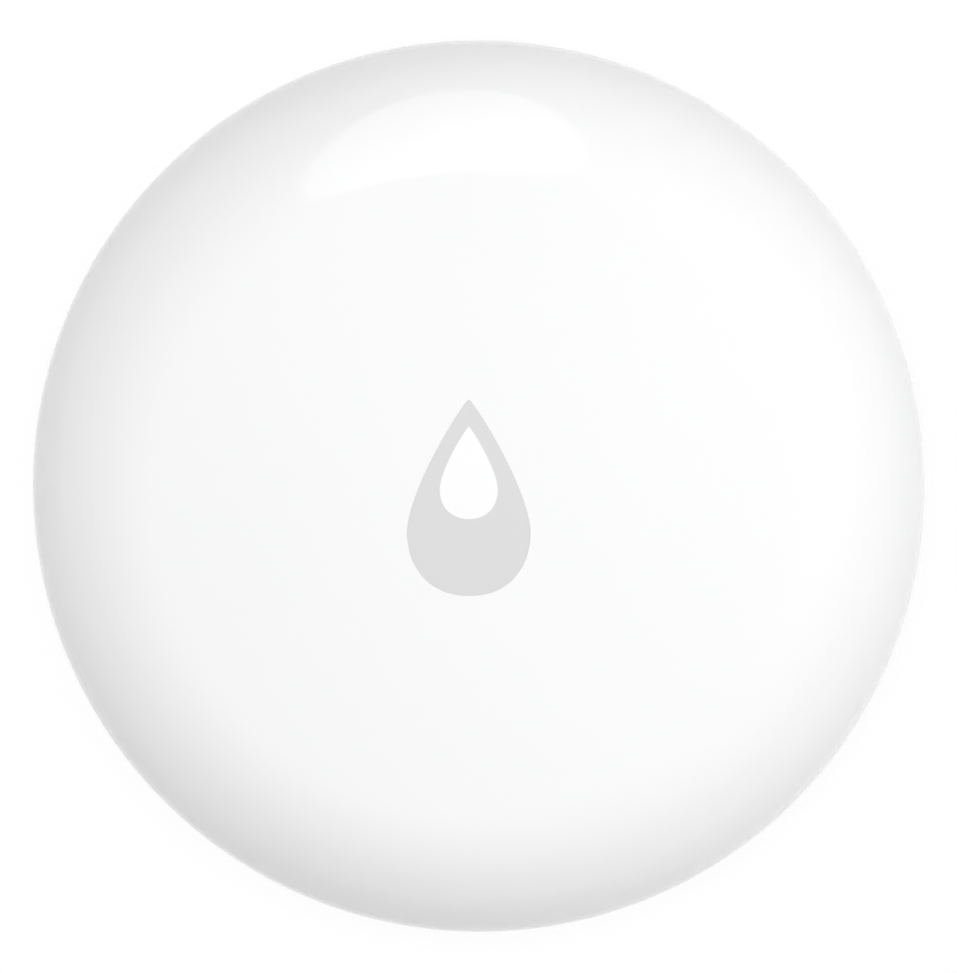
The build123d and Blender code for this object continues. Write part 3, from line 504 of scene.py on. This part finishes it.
base_white = moulded(
    "base_plastic", (0.9, 0.9, 0.905), (0.885, 0.886, 0.892), gloss=0.34, grain=0.16 * mm, depth=0.004 * mm
)
finished("base_moulding", base, base_white, "housing", "base_white", "base_shell")

# Foot pads: three bent strips of grey rubber, die cut and glued into their beds. Their lower
# edges are a little rounded, and the sensor stands on them.
foot_top = underside + foot_bed
foot_edge = 0.15 * mm

feet = bmesh.new()
for turn in thirds:
    prism(feet, slot_points(0, foot_circle, foot_width, turn, foot_arc), foot_top)
sole = [edge for edge in feet.edges if all(vert.co.z < foot_edge for vert in edge.verts)]
bmesh.ops.bevel(feet, geom=sole, offset=foot_edge, segments=3, profile=0.5, affect="EDGES", material=-1)
bmesh.ops.recalc_face_normals(feet, faces=feet.faces)


def rubber(name, colour, shade, gloss=0.62):
    """Finish of a moulded rubber: dull, with a powdery bloom and a coarse grain."""
    soft = Finish(name)
    bloom = soft.ramp(soft.noise(size=1.3 * mm, detail=4), low=0.35, high=0.7)
    return soft.surface(
        base_color=soft.tint(bloom, colour, shade),
        roughness=gloss + bloom * 0.16,
        normal=soft.bump(soft.noise(size=0.12 * mm), depth=0.008 * mm),
    )


foot_rubber = rubber("foot_rubber", (0.3, 0.3, 0.31), (0.36, 0.36, 0.365))
finished("foot_strips", feet, foot_rubber, "housing", "foot_grey", "foot_pads")

# Shell seal: the rubber ring in the groove of the base's spigot, which the dome's rim
# presses. It is moulded, with a dull bloom.


def dressed(material, *nodes):
    """Gives CAD nodes, whose shapes stay as they are, a finish."""
    for node in nodes:
        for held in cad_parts[node].material_slots:
            held.material = material


seal_rubber = rubber("seal_rubber", (0.2, 0.2, 0.205), (0.245, 0.245, 0.25), gloss=0.5)
dressed(seal_rubber, "shell_seal")

# Main board: a round sheet of green laminate. Under its lacquer show the weave of the glass
# cloth and long copper tracks, etched with thin gaps between them.
weave_pitch = 0.45 * mm
wave_repeat = pi / 10
track_length = 7.8 * mm
track_width = 0.416 * mm
track_gap = 0.052 * mm

mask = Finish("board_lacquer")
warp, weft = [
    mask.node(
        "ShaderNodeTexWave",
        {"wave_type": "BANDS", "bands_direction": way},
        {"Vector": mask.place(), "Scale": wave_repeat / weave_pitch, "Distortion": 0.6},
    )
    for way in ("X", "Y")
]
gaps = mask.node(
    "ShaderNodeTexBrick",
    {"offset": 0.37, "squash": 1.6},
    {
        "Vector": mask.place(),
        "Scale": 1 / track_length,
        "Mortar Size": track_gap / track_length,
        "Brick Width": 1.0,
        "Row Height": track_width / track_length,
    },
    output="Fac",
)
weave = warp * weft
board_green = mask.surface(
    base_color=mask.tint(gaps * 0.75 + weave * 0.2, (0.035, 0.2, 0.085), (0.018, 0.115, 0.05)),
    roughness=0.3 + weave * 0.08 + gaps * 0.1,
    normal=mask.bump(weave * 0.25 - gaps, depth=0.012 * mm),
)
dressed(board_green, "main_board")

# Board screws: three small steel screws, cold headed and zinc plated. They hold the board on
# the bosses of the base shell.


def metal(name, colour, shade, gloss, streak=(1, 1, 1), grain=0.25 * mm):
    """Finish of a bare metal: two close tones, and fine marks along the way it was worked."""
    bare = Finish(name)
    worn = bare.ramp(bare.noise(grain, detail=4, stretch=streak), low=0.3, high=0.7)
    smear = bare.noise(size=2.2 * mm)
    return bare.surface(
        base_color=bare.tint(smear, colour, shade),
        metallic=1.0,
        roughness=gloss + worn * 0.08 + (smear - 0.5) * 0.06,
        normal=bare.bump(worn, depth=0.0012 * mm),
    )


zinc = metal("screw_zinc", (0.63, 0.65, 0.68), (0.55, 0.56, 0.58), gloss=0.26)
dressed(zinc, "board_screws")

# Antenna and chips: a gilded copper trace, two chips in black moulding compound, a crystal in
# a nickel-plated can and ceramic passives, all soldered to the board by machine.
gilding = metal("trace_gilding", (0.86, 0.62, 0.3), (0.8, 0.56, 0.27), gloss=0.24)
dressed(gilding, "antenna_trace")
crystal_can = metal("crystal_can", (0.66, 0.64, 0.6), (0.58, 0.56, 0.52), gloss=0.22, streak=(1, 0.15, 1))
dressed(crystal_can, "crystal")
compound = Finish("chip_compound")
specks = compound.ramp(compound.noise(size=0.09 * mm, detail=2), low=0.45, high=0.75)
chip_black = compound.surface(
    base_color=compound.tint(specks, (0.028, 0.028, 0.03), (0.06, 0.06, 0.062)),
    roughness=0.48 + specks * 0.15,
    normal=compound.bump(specks, depth=0.006 * mm),
)
dressed(chip_black, "radio_chip", "sense_chip")
ceramic = Finish("passive_ceramic")
fired = ceramic.noise(size=0.35 * mm)
passive_tan = ceramic.surface(
    base_color=ceramic.tint(fired, (0.47, 0.35, 0.23), (0.39, 0.28, 0.18)),
    roughness=0.38 + fired * 0.12,
    normal=ceramic.bump(ceramic.noise(size=0.07 * mm, detail=2), depth=0.004 * mm),
)
dressed(passive_tan, "passives")

# Battery holder and contacts: a black nylon ring, with a nickel-plated clip round the cell
# and a sprung leaf under the board, both stamped and bent.
nylon = moulded(
    "holder_nylon", (0.03, 0.03, 0.032), (0.045, 0.045, 0.047), gloss=0.45, grain=0.1 * mm, depth=0.006 * mm
)
dressed(nylon, "battery_holder")
nickel = metal("contact_nickel", (0.68, 0.66, 0.61), (0.6, 0.58, 0.53), gloss=0.24, streak=(1, 0.12, 1))
dressed(nickel, "battery_positive_clip", "battery_negative_spring")

# Coin cell: a drawn steel can and cap with turning marks round the axis, and a pale plastic
# gasket crimped between them.
turning_pitch = 0.12 * mm


def brushed(name, colour, shade):
    """Finish of a steel face that was turned or brushed round the axis."""
    face = Finish(name)
    flat = face.node("ShaderNodeVectorMath", {"operation": "MULTIPLY"}, {0: face.place(), 1: (1, 1, 0)})
    radius = face.node("ShaderNodeVectorMath", {"operation": "LENGTH"}, {0: flat}, output="Value")
    rings = face.node(
        "ShaderNodeTexNoise",
        {"noise_dimensions": "1D"},
        {"W": radius, "Scale": 1 / turning_pitch, "Detail": 3},
    )
    stain = face.ramp(face.noise(size=3 * mm), low=0.4, high=0.75)
    return face.surface(
        base_color=face.tint(stain, colour, shade),
        metallic=1.0,
        roughness=0.24 + rings * 0.1 + stain * 0.05,
        normal=face.bump(rings, depth=0.003 * mm),
    )


can_steel = brushed("can_steel", (0.66, 0.66, 0.655), (0.6, 0.595, 0.585))
cap_steel = brushed("cap_steel", (0.62, 0.62, 0.62), (0.56, 0.56, 0.555))
dressed(can_steel, "battery_can")
dressed(cap_steel, "battery_cap")
gasket_plastic = moulded(
    "gasket_plastic", (0.8, 0.8, 0.77), (0.72, 0.72, 0.69), gloss=0.4, grain=0.1 * mm, depth=0.003 * mm
)
dressed(gasket_plastic, "battery_gasket")

# Probe contacts: two brass barrels pressed into the board. In each a steel spring pushes a
# gilded pin down on the insert of a probe.
probe_places = [(-13.7 * mm, 0), (13.7 * mm, 0)]
spring_radius = 0.5 * mm
spring_wire = 0.2 * mm
spring_pitch = 0.7 * mm
spring_foot = 6.42 * mm
spring_seat = 9.18 * mm
wire_sides = 12
coil_steps = 32

brass = metal("barrel_brass", (0.78, 0.6, 0.32), (0.7, 0.52, 0.27), gloss=0.22, streak=(1, 1, 0.2))
dressed(brass, "contact_barrels")
spring_steel = metal("spring_steel", (0.6, 0.6, 0.6), (0.52, 0.52, 0.52), gloss=0.24)
spring_turns = (spring_seat - spring_wire / 2 - spring_foot) / spring_pitch
spring_steps = round(spring_turns * coil_steps)
for side, place in zip(("left", "right"), probe_places):
    coil = bmesh.new()
    end = bmesh.ops.create_circle(coil, cap_ends=True, segments=wire_sides, radius=spring_wire / 2)["verts"]
    bmesh.ops.rotate(coil, verts=end, cent=(0, 0, 0), matrix=Matrix.Rotation(pi / 2, 3, "X"))
    bmesh.ops.translate(coil, verts=end, vec=(spring_radius, 0, spring_foot))
    bmesh.ops.spin(
        coil,
        geom=list(coil.verts) + list(coil.edges) + list(coil.faces),
        axis=(0, 0, 1),
        cent=(0, 0, 0),
        dvec=(0, 0, spring_turns * spring_pitch / spring_steps),
        angle=2 * pi * spring_turns,
        steps=spring_steps,
        use_merge=False,
    )
    bmesh.ops.recalc_face_normals(coil, faces=coil.faces)
    bmesh.ops.translate(coil, verts=coil.verts, vec=(*place, 0))
    node = f"contact_spring_{side}"
    spring = finished(f"spring_{side}", coil, spring_steel, "housing", "sheet_steel", node, level_faces=False)
    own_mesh(spring)
pin_gold = metal("pin_gold", (0.95, 0.72, 0.34), (0.9, 0.66, 0.3), gloss=0.16, streak=(1, 1, 0.25))
dressed(pin_gold, "contact_pin_left", "contact_pin_right")

# Battery cover: the round lid of the same satin plastic, with a coin slot and a threaded
# skirt. Its two bosses take the probe screws, and a dot marks where it is closed.
cover_radius = 18.3 * mm
cover_inside = 2.4 * mm
skirt_radius = 16.1 * mm
skirt_bore = 15 * mm
skirt_top = 6.6 * mm
bead_radius = 16.25 * mm
bead_level = 3.5 * mm
bead_height = 0.2 * mm
lug_root = 15.9 * mm
lug_radius = 17 * mm
lug_level = 4.783 * mm
lug_height = 0.8 * mm
lug_lag = radians(10)
lug_arc = radians(26)
probe_recess_radius = 2.8 * mm
probe_ceiling = 1.7 * mm
probe_hole_radius = 1.35 * mm
insert_bottom = 2.2 * mm
insert_bore = 1.92 * mm
probe_boss_radius = 2.3 * mm
probe_boss_top = 4.4 * mm
slot_length = 16 * mm
slot_width = 1.8 * mm
slot_depth = 0.9 * mm
slot_steps = 16
hole_steps = 48
cover_dot = (0, -16.8 * mm)

lid = turned(
    rounded(
        [
            (0, underside, 0),
            (cover_radius, underside, edge_round),
            (cover_radius, cover_inside, edge_round),
            (skirt_radius, cover_inside, edge_round),
            (skirt_radius, bead_level, 0),
            (bead_radius, bead_level, 0),
            (bead_radius, bead_level + bead_height, 0),
            (skirt_radius, bead_level + bead_height, 0),
            (skirt_radius, skirt_top, edge_round),
            (skirt_bore, skirt_top, edge_round),
            (skirt_bore, cover_inside, edge_round),
            (0, cover_inside, 0),
        ]
    ),
    closed=False,
)
lid_cutter = bmesh.new()
slot_reach = slot_length / 2 - slot_width / 2
slot_outline = []
for end, start in ((slot_reach, 0), (-slot_reach, pi)):
    for step in range(slot_steps + 1):
        turn = start + pi * step / slot_steps
        spot = slot_width / 2 * Vector((cos(turn), sin(turn))) + Vector((0, end))
        slot_outline.append((*spot, underside - overrun))
prism(lid_cutter, slot_outline, slot_depth + overrun)
prism(lid_cutter, disc_points(*cover_dot, underside - overrun, dot_radius), dot_depth + overrun)
probe_hole = [
    (0, underside - overrun),
    (probe_recess_radius, underside - overrun),
    (probe_recess_radius, probe_ceiling),
    (probe_hole_radius, probe_ceiling),
    (probe_hole_radius, insert_bottom),
    (insert_bore, insert_bottom),
    (insert_bore, cover_inside + overrun),
    (0, cover_inside + overrun),
]
joined(lid_cutter, *[turned(probe_hole, False, hole_steps, place) for place in probe_places])
lid = cut(lid, lid_cutter)
for start in range(thread_starts):
    turn = lug_lag + 2 * pi * start / thread_starts
    rib(lid, lug_root, lug_radius, lug_level, lug_height, turn, lug_arc)
probe_boss = rounded(
    [
        (insert_bore, cover_inside - sunk, 0),
        (probe_boss_radius, cover_inside - sunk, 0),
        (probe_boss_radius, probe_boss_top, edge_round),
        (insert_bore, probe_boss_top, 0),
    ]
)
joined(lid, *[turned(probe_boss, True, hole_steps, place) for place in probe_places])
finished("cover_lid", lid, base_white, "cover", "base_white", "battery_cover")

# Probe screws: two steel pan-head screws with a cross recess. They are turned, rolled and
# polished, and their heads are the electrodes that water bridges.
probe_stand = 0.2 * mm
probe_head_radius = 2.5 * mm
probe_head_top = 1.2 * mm
probe_round = 0.3 * mm
probe_shank_radius = 1.25 * mm
probe_shank_top = 4.33 * mm
cross_reach = 0.62 * probe_head_radius
cross_half = 0.18 * probe_head_radius
cross_depth = 0.5 * mm
head_steps = 64

screw_outline = rounded(
    [
        (0, probe_stand, 0),
        (probe_head_radius, probe_stand, probe_round),
        (probe_head_radius, probe_head_top, edge_round),
        (probe_shank_radius, probe_head_top, 0),
        (probe_shank_radius, probe_shank_top, edge_round),
        (0, probe_shank_top, 0),
    ]
)
cross_quarter = [(cross_reach, -cross_half), (cross_reach, cross_half), (cross_half, cross_half)]
probes = bmesh.new()
crosses = bmesh.new()
for place in probe_places:
    joined(probes, turned(screw_outline, False, head_steps, place))
    cross = []
    for quarter in (0, pi / 2, pi, 3 * pi / 2):
        for corner in cross_quarter:
            spot = Vector(place) + Matrix.Rotation(quarter, 2) @ Vector(corner)
            cross.append((*spot, probe_stand - overrun))
    prism(crosses, cross, cross_depth + overrun)
probes = cut(probes, crosses)

probe_steel = metal("probe_steel", (0.62, 0.62, 0.61), (0.56, 0.56, 0.555), gloss=0.2, streak=(1, 1, 0.2))
finished("probe_heads", probes, probe_steel, "cover", "probe_steel", "probe_screws")

# Probe seals: a dark rubber washer under each screw head, punched from sheet. The head
# presses it on the lid, so that no water gets past the shank.
washer_bore = 1.35 * mm
washer_radius = 2.6 * mm
washer_top = 1.7 * mm

washer_outline = rounded(
    [
        (washer_bore, probe_head_top, 0),
        (washer_radius, probe_head_top, edge_round),
        (washer_radius, washer_top, edge_round),
        (washer_bore, washer_top, 0),
    ]
)
washers = joined(bmesh.new(), *[turned(washer_outline, True, head_steps, place) for place in probe_places])
finished("probe_washers", washers, seal_rubber, "cover", "seal_grey", "probe_seals")

# Inside the cover: two knurled brass inserts that take the screws, a foam disc that keeps the
# cell from rattling, and the rubber ring that seals the skirt.
knurl_pitch = 0.4 * mm
pore_size = 0.28 * mm

knurled = Finish("insert_brass")
knurl = knurled.node(
    "ShaderNodeTexVoronoi",
    {"voronoi_dimensions": "3D", "distance": "MANHATTAN"},
    {"Vector": knurled.place(), "Scale": 1 / knurl_pitch, "Randomness": 0.0},
)
insert_brass = knurled.surface(
    base_color=knurled.tint(knurl, (0.8, 0.62, 0.33), (0.66, 0.49, 0.25)),
    metallic=1.0,
    roughness=0.26 + knurl * 0.12,
    normal=knurled.bump(knurl, depth=0.03 * mm),
)
dressed(insert_brass, "probe_inserts")
foam = Finish("cushion_foam")
# The pores are real relief, and the foam's colour is also painted darker in their pits and lighter on the
# walls between them: painted shade.
pores_and_pit_shade = foam.node(
    "ShaderNodeTexVoronoi", {"voronoi_dimensions": "3D"}, {"Vector": foam.place(), "Scale": 1 / pore_size}
)
cushion_foam = foam.surface(
    base_color=foam.tint(pores_and_pit_shade, (0.1, 0.1, 0.105), (0.2, 0.2, 0.205)),
    roughness=0.86 + pores_and_pit_shade * 0.1,
    normal=foam.bump(pores_and_pit_shade, depth=0.06 * mm),
)
dressed(cushion_foam, "battery_cushion")
dressed(seal_rubber, "cover_seal")

# Top shell: the glossy white dome, moulded in one piece with a window for the key. Its crown
# runs smoothly into the shoulder, and a plain seam parts it from the base.
body_radius = 25 * mm
body_height = 15 * mm
crown_rise = 1.35 * mm
shell_edge = 4.6 * mm
rim_land = 0.45 * mm
shell_wall = 1.6 * mm
rim_round = 0.2 * mm
rim_bore = 23.4 * mm
rim_bore_top = 7.0 * mm
pad_level = 13.2 * mm
collar_bottom = 12.2 * mm
collar_radius = 6.6 * mm
collar_outer = 8.2 * mm
window_circle = 8 * mm
window_rings = 12
mark_length = 10.9 * mm
mark_width = 6.84 * mm
mark_widest = 0.68
mark_neck = 0.22
mark_blunt = 0.07
mark_belly = 0.43
mark_foot = 0.75
crown_steps = 24
shoulder_steps = 56
post_turns = [radians(30), radians(150), radians(270)]
post_circle = 17.85 * mm
post_radius = 1 * mm
post_bottom = 8.1 * mm
post_short = 0.3 * mm
stake_circle = 9.1 * mm
stake_radius = 0.7 * mm
stake_bottom = 11 * mm

equator = shell_edge + rim_land
shoulder_radius = body_height - equator - crown_rise
shoulder_axis = body_radius - shoulder_radius
shoulder_drop = shoulder_radius + crown_rise
crown_radius = (shoulder_axis**2 + shoulder_drop**2 - shoulder_radius**2) / (2 * crown_rise)
crown_centre = body_height - crown_radius
crown_angle = atan2(equator - crown_centre, shoulder_axis)


def crown_level(radius, depth=0):
    """Level of the crown's surface, sunk by a depth, at a distance from the axis."""
    return crown_centre + sqrt((crown_radius - depth) ** 2 - radius**2)


def dome_side(depth, inner):
    """Outline of the dome's surface, sunk by a depth, from a radius on the crown to its side."""
    points = []
    join = (crown_radius - depth) * cos(crown_angle)
    for step in range(crown_steps):
        radius = inner + (join - inner) * step / crown_steps
        points.append(Vector((radius, crown_level(radius, depth))))
    reach = shoulder_radius - depth
    for step in range(shoulder_steps + 1):
        angle = crown_angle * (1 - step / shoulder_steps)
        points.append(Vector((shoulder_axis + reach * cos(angle), equator + reach * sin(angle))))
    return points


def drop_points(
    level,
    margin=0.0,
    length=mark_length,
    width=mark_width,
    top=mark_length / 2,
    belly=mark_belly,
    foot=mark_foot,
):
    """Points round a drop with its tip at top on Y, widened all round by a margin."""
    steps = spin_steps // 4
    tip = top + margin
    half = width / 2 + margin
    bottom = top - length - margin
    widest = tip - mark_widest * (length + 2 * margin)
    neck = widest + mark_neck * (length + 2 * margin)
    right = interpolate_bezier((0, tip), (mark_blunt * half, tip), (half, neck), (half, widest), steps + 1)
    right += interpolate_bezier(
        (half, widest),
        (half, widest - belly * (widest - bottom)),
        (foot * half, bottom),
        (0, bottom),
        steps + 1,
    )[1:]
    left = [Vector((-point.x, point.y)) for point in right[-2:0:-1]]
    return [(point.x, point.y, level) for point in right + left]


def bridge(shape, first, second, rings=1):
    """Joins two loops of edges by a band of faces, cut into rings."""
    made = bmesh.ops.bridge_loops(shape, edges=first + second)
    if rings > 1:
        bmesh.ops.subdivide_edges(shape, edges=made["edges"], cuts=rings - 1, use_grid_fill=True)


def edges_at(shape, radius, level):
    """The loop of edges that lies on a circle about Z."""
    near = 0.02 * mm

    def on_circle(vert):
        return abs(vert.co.xy.length - radius) < near and abs(vert.co.z - level) < near

    return [edge for edge in shape.edges if all(on_circle(vert) for vert in edge.verts)]


def onto_crown(shape):
    """Lays a shape's highest points on the crown's surface."""
    lowest = crown_level(window_circle) - sunk
    for vert in shape.verts:
        if vert.co.z > lowest:
            vert.co.z = crown_level(hypot(vert.co.x, vert.co.y))


def dome_normal(point):
    """The dome's own normal at a point of its surface, or nothing at a point off it."""
    near = 0.004 * mm
    radius = hypot(point.x, point.y)
    arm = Vector((radius, point.z)) - Vector((0, crown_centre))
    full = crown_radius
    if radius > crown_radius * cos(crown_angle) and point.z >= equator - near:
        arm = Vector((radius, point.z)) - Vector((shoulder_axis, equator))
        full = shoulder_radius
    if abs(arm.length - full) > near:
        return None
    outward = point.xy.normalized() * arm.x
    return Vector((*outward, arm.y)).normalized()


def dome_normals(piece):
    """Gives the faces on the dome's surface the dome's own normals, so that it mirrors smoothly."""
    mesh = piece.data
    normals = [(0, 0, 0)] * len(mesh.loops)
    for face in mesh.polygons:
        found = [dome_normal(mesh.vertices[index].co) for index in face.vertices]
        if all(normal is not None for normal in found):
            for corner, normal in zip(face.loop_indices, found):
                normals[corner] = normal
    mesh.normals_split_custom_set(normals)


inner_side = [point for point in dome_side(shell_wall, collar_outer) if point.y > rim_bore_top]
inner_join = shoulder_axis + sqrt((shoulder_radius - shell_wall) ** 2 - (rim_bore_top - equator) ** 2)
rim = rounded(
    [
        (body_radius, equator, 0),
        (body_radius, shell_edge, rim_round),
        (rim_bore, shell_edge, rim_round / 2),
        (rim_bore, rim_bore_top, 0),
        (inner_join, rim_bore_top, 0),
    ]
)
collar = [
    Vector((collar_outer, collar_bottom)),
    Vector((collar_radius, collar_bottom)),
    Vector((collar_radius, pad_level)),
]
dome = turned(dome_side(0, window_circle) + rim[1:] + inner_side[::-1] + collar, closed=False)
window_top = loop_of(dome, drop_points(body_height))
window_bottom = loop_of(dome, drop_points(pad_level))
bridge(dome, window_top, window_bottom)
bmesh.ops.triangle_fill(dome, edges=window_bottom + edges_at(dome, collar_radius, pad_level), use_beauty=True)
bridge(dome, window_top, edges_at(dome, window_circle, crown_level(window_circle)), window_rings)
bmesh.ops.recalc_face_normals(dome, faces=dome.faces)
onto_crown(dome)
for turn in post_turns:
    post = disc_points(post_circle * cos(turn), post_circle * sin(turn), post_bottom, post_radius)
    prism(dome, post, crown_level(post_circle, shell_wall / 2) - post_bottom - post_short)
for turn in thirds:
    stake = disc_points(stake_circle * cos(turn), stake_circle * sin(turn), stake_bottom, stake_radius)
    prism(dome, stake, crown_level(stake_circle, shell_wall / 2) - stake_bottom)

gloss = Finish("dome_plastic")
cloud = gloss.noise(size=14 * mm, detail=2)
wiped = gloss.ramp(gloss.noise(size=3.2 * mm, detail=5, stretch=(1, 0.16, 1)), low=0.55, high=0.8)
hair = gloss.ramp(gloss.noise(size=0.5 * mm, detail=2, stretch=(0.12, 1, 1)), low=0.68, high=0.78)
peel = gloss.noise(size=1.1 * mm, detail=2) + gloss.noise(size=0.3 * mm, detail=1) * 0.2
dome_white = gloss.surface(
    base_color=gloss.tint(cloud, (0.925, 0.925, 0.928), (0.915, 0.917, 0.922)),
    roughness=0.07 + wiped * 0.03 + hair * 0.05,
    normal=gloss.bump(peel, depth=0.0006 * mm),
)
dome_piece = finished(
    "dome_moulding", dome, dome_white, "housing", "shell_white", "top_shell", level_faces=False
)
dome_normals(dome_piece)

# Button seal and retainer: a thin silicone disc that keeps water out under the key, with a
# thinner ring that lets its middle move and a pip that reaches the switch. A white ring,
# staked to the dome from inside, clamps it.
switch_place = (0, -1.2 * mm)
disc_bottom = 11.8 * mm
disc_top = 12.2 * mm
disc_radius = 8 * mm
web_radius = 6.4 * mm
web_bore = 4.9 * mm
web_bottom = 11.95 * mm
pip_radius = 1 * mm
pip_height = 0.3 * mm
disc_steps = 64

disc_outline = rounded(
    [
        (0, disc_bottom, 0),
        (web_bore, disc_bottom, 0),
        (web_bore, web_bottom, 0),
        (web_radius, web_bottom, 0),
        (web_radius, disc_bottom, 0),
        (disc_radius, disc_bottom, 0),
        (disc_radius, disc_top, 0),
        (0, disc_top, 0),
    ]
)
disc = turned(disc_outline, False, disc_steps)
prism(disc, disc_points(*switch_place, disc_bottom - pip_height, pip_radius), pip_height + sunk)
silicone = Finish("seal_silicone")
milk = silicone.noise(size=1.5 * mm)
membrane_clear = silicone.surface(
    base_color=silicone.tint(milk, (0.78, 0.79, 0.8), (0.7, 0.71, 0.725)),
    roughness=0.42 + milk * 0.1,
    subsurface_weight=0.2,
    subsurface_scale=0.4 * mm,
    normal=silicone.bump(silicone.noise(size=0.1 * mm, detail=2), depth=0.003 * mm),
)
disc_piece = finished("key_membrane", disc, membrane_clear, "housing", "membrane_clear", "button_seal")
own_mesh(disc_piece)
dressed(base_white, "button_retainer")

# Push switch, light and light guide: a black switch in a stamped steel frame, with a snap
# dome and a plunger. A white light beside it shines up through a clear guide into the key.
snap_floor = 8.5 * mm
snap_radius = 1.35 * mm
snap_rise = 0.55 * mm
snap_sheet = 0.1 * mm
snap_arc_steps = 12
snap_turn_steps = 48

dressed(nylon, "switch_body")
frame_steel = metal(
    "switch_steel", (0.6, 0.6, 0.595), (0.53, 0.53, 0.525), gloss=0.28, streak=(1, 0.15, 1)
)
dressed(frame_steel, "switch_frame")
snap_ball = (snap_radius**2 + snap_rise**2) / (2 * snap_rise)
snap_centre = snap_floor + snap_rise - snap_ball
snap_outline = []
for ball, order in ((snap_ball, 1), (snap_ball - snap_sheet, -1)):
    spread = acos((snap_ball - snap_rise) / ball)
    arc = [spread * step / snap_arc_steps for step in range(snap_arc_steps + 1)]
    snap_outline += [(ball * sin(turn), snap_centre + ball * cos(turn)) for turn in arc[::order]]
snap = turned(snap_outline, False, snap_turn_steps, switch_place)
snap_piece = finished("switch_click", snap, frame_steel, "housing", "sheet_steel", "switch_snap_dome")
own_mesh(snap_piece)
plunger_nylon = moulded(
    "plunger_nylon", (0.06, 0.06, 0.062), (0.08, 0.08, 0.082), gloss=0.4, grain=0.08 * mm, depth=0.003 * mm
)
dressed(plunger_nylon, "switch_plunger")
lens_resin = Finish("lamp_resin")
phosphor = lens_resin.noise(size=0.3 * mm)
lamp_white = lens_resin.surface(
    base_color=lens_resin.tint(phosphor, (0.85, 0.85, 0.78), (0.88, 0.84, 0.6)),
    roughness=0.2 + phosphor * 0.1,
    normal=lens_resin.bump(phosphor, depth=0.002 * mm),
)
dressed(lamp_white, "status_led")
acrylic = Finish("guide_acrylic")
flow = acrylic.noise(size=0.8 * mm, stretch=(1, 1, 0.2))
guide_clear = acrylic.surface(
    base_color=acrylic.tint(flow, (0.95, 0.97, 0.97), (0.9, 0.94, 0.95)),
    roughness=0.04 + flow * 0.05,
    transmission_weight=0.92,
    ior=1.49,
    normal=acrylic.bump(flow, depth=0.001 * mm),
)
dressed(guide_clear, "light_guide")

# Key: the grey drop in the crown, which is the button and the light window in one. It is
# moulded in a milky grey plastic, flush with the dome, and held by a flange under it.
key_gap = 0.008 * mm
flange_top = 13.15 * mm
flange_bottom = 12.55 * mm
flange_reach = 0.5 * mm
stem_bottom = 12.22 * mm
stem_radius = 1.4 * mm
key_rings = 4
inlay_bottom = 14.4 * mm
inlay_length = 5.13 * mm
inlay_width = 3.22 * mm
inlay_tip = 3.95 * mm
inlay_belly = 0.64
inlay_foot = 0.57


def inlay_points(level, share=1.0):
    """Points round the inlay, drawn in to a share of its size about its widest part."""
    middle = inlay_tip - mark_widest * inlay_length
    points = drop_points(level, 0, inlay_length, inlay_width, inlay_tip, inlay_belly, inlay_foot)
    return [(x * share, middle + (y - middle) * share, z) for x, y, z in points]


key = bmesh.new()
key_top = loop_of(key, drop_points(body_height, -key_gap))
hole_top = loop_of(key, inlay_points(body_height + overrun))
hole_bottom = loop_of(key, inlay_points(inlay_bottom))
key_foot = loop_of(key, drop_points(flange_top, -key_gap))
flange_upper = loop_of(key, drop_points(flange_top, flange_reach))
flange_lower = loop_of(key, drop_points(flange_bottom, flange_reach))
bridge(key, hole_top, hole_bottom)
bridge(key, key_top, key_foot)
bmesh.ops.triangle_fill(key, edges=key_foot + flange_upper, use_beauty=True)
bridge(key, flange_upper, flange_lower)
bridge(key, key_top, hole_top, key_rings)
bmesh.ops.contextual_create(key, geom=hole_bottom)
bmesh.ops.contextual_create(key, geom=flange_lower)
bmesh.ops.recalc_face_normals(key, faces=key.faces)
onto_crown(key)
prism(key, disc_points(*switch_place, stem_bottom, stem_radius), flange_bottom - stem_bottom + sunk)

milky = Finish("key_plastic")
haze = milky.noise(size=1.6 * mm)
key_grey = milky.surface(
    base_color=milky.tint(haze, (0.69, 0.69, 0.692), (0.68, 0.68, 0.683)),
    roughness=0.22 + haze * 0.06,
    normal=milky.bump(milky.noise(size=0.08 * mm, detail=2), depth=0.0008 * mm),
)
key_piece = finished("key_drop", key, key_grey, "button", "key_grey", "button_key", level_faces=False)
dome_normals(key_piece)

# Inlay: the small white drop in the key's upper half, moulded into it from a second shot of
# plain white plastic, so that the two are flush and have no gap.
inlay_shares = (1, 0.66, 0.33, 0.08)

inlay = bmesh.new()
inlay_loops = []
for share in inlay_shares:
    inlay_loops.append(loop_of(inlay, inlay_points(body_height + (1 - share) * overrun, share)))
for outer, inner in zip(inlay_loops, inlay_loops[1:]):
    bridge(inlay, outer, inner)
bmesh.ops.contextual_create(inlay, geom=inlay_loops[-1])
inlay_base = loop_of(inlay, inlay_points(inlay_bottom))
bridge(inlay, inlay_loops[0], inlay_base)
bmesh.ops.contextual_create(inlay, geom=inlay_base)
bmesh.ops.recalc_face_normals(inlay, faces=inlay.faces)
onto_crown(inlay)

chalk = Finish("inlay_plastic")
mist = chalk.noise(size=1.1 * mm)
inlay_white = chalk.surface(
    base_color=chalk.tint(mist, (0.94, 0.94, 0.942), (0.93, 0.931, 0.935)),
    roughness=0.16 + mist * 0.05,
    normal=chalk.bump(chalk.noise(size=0.2 * mm, detail=2), depth=0.0006 * mm),
)
inlay_piece = finished(
    "key_inlay", inlay, inlay_white, "button", "inlay_white", "button_inlay", level_faces=False
)
dome_normals(inlay_piece)
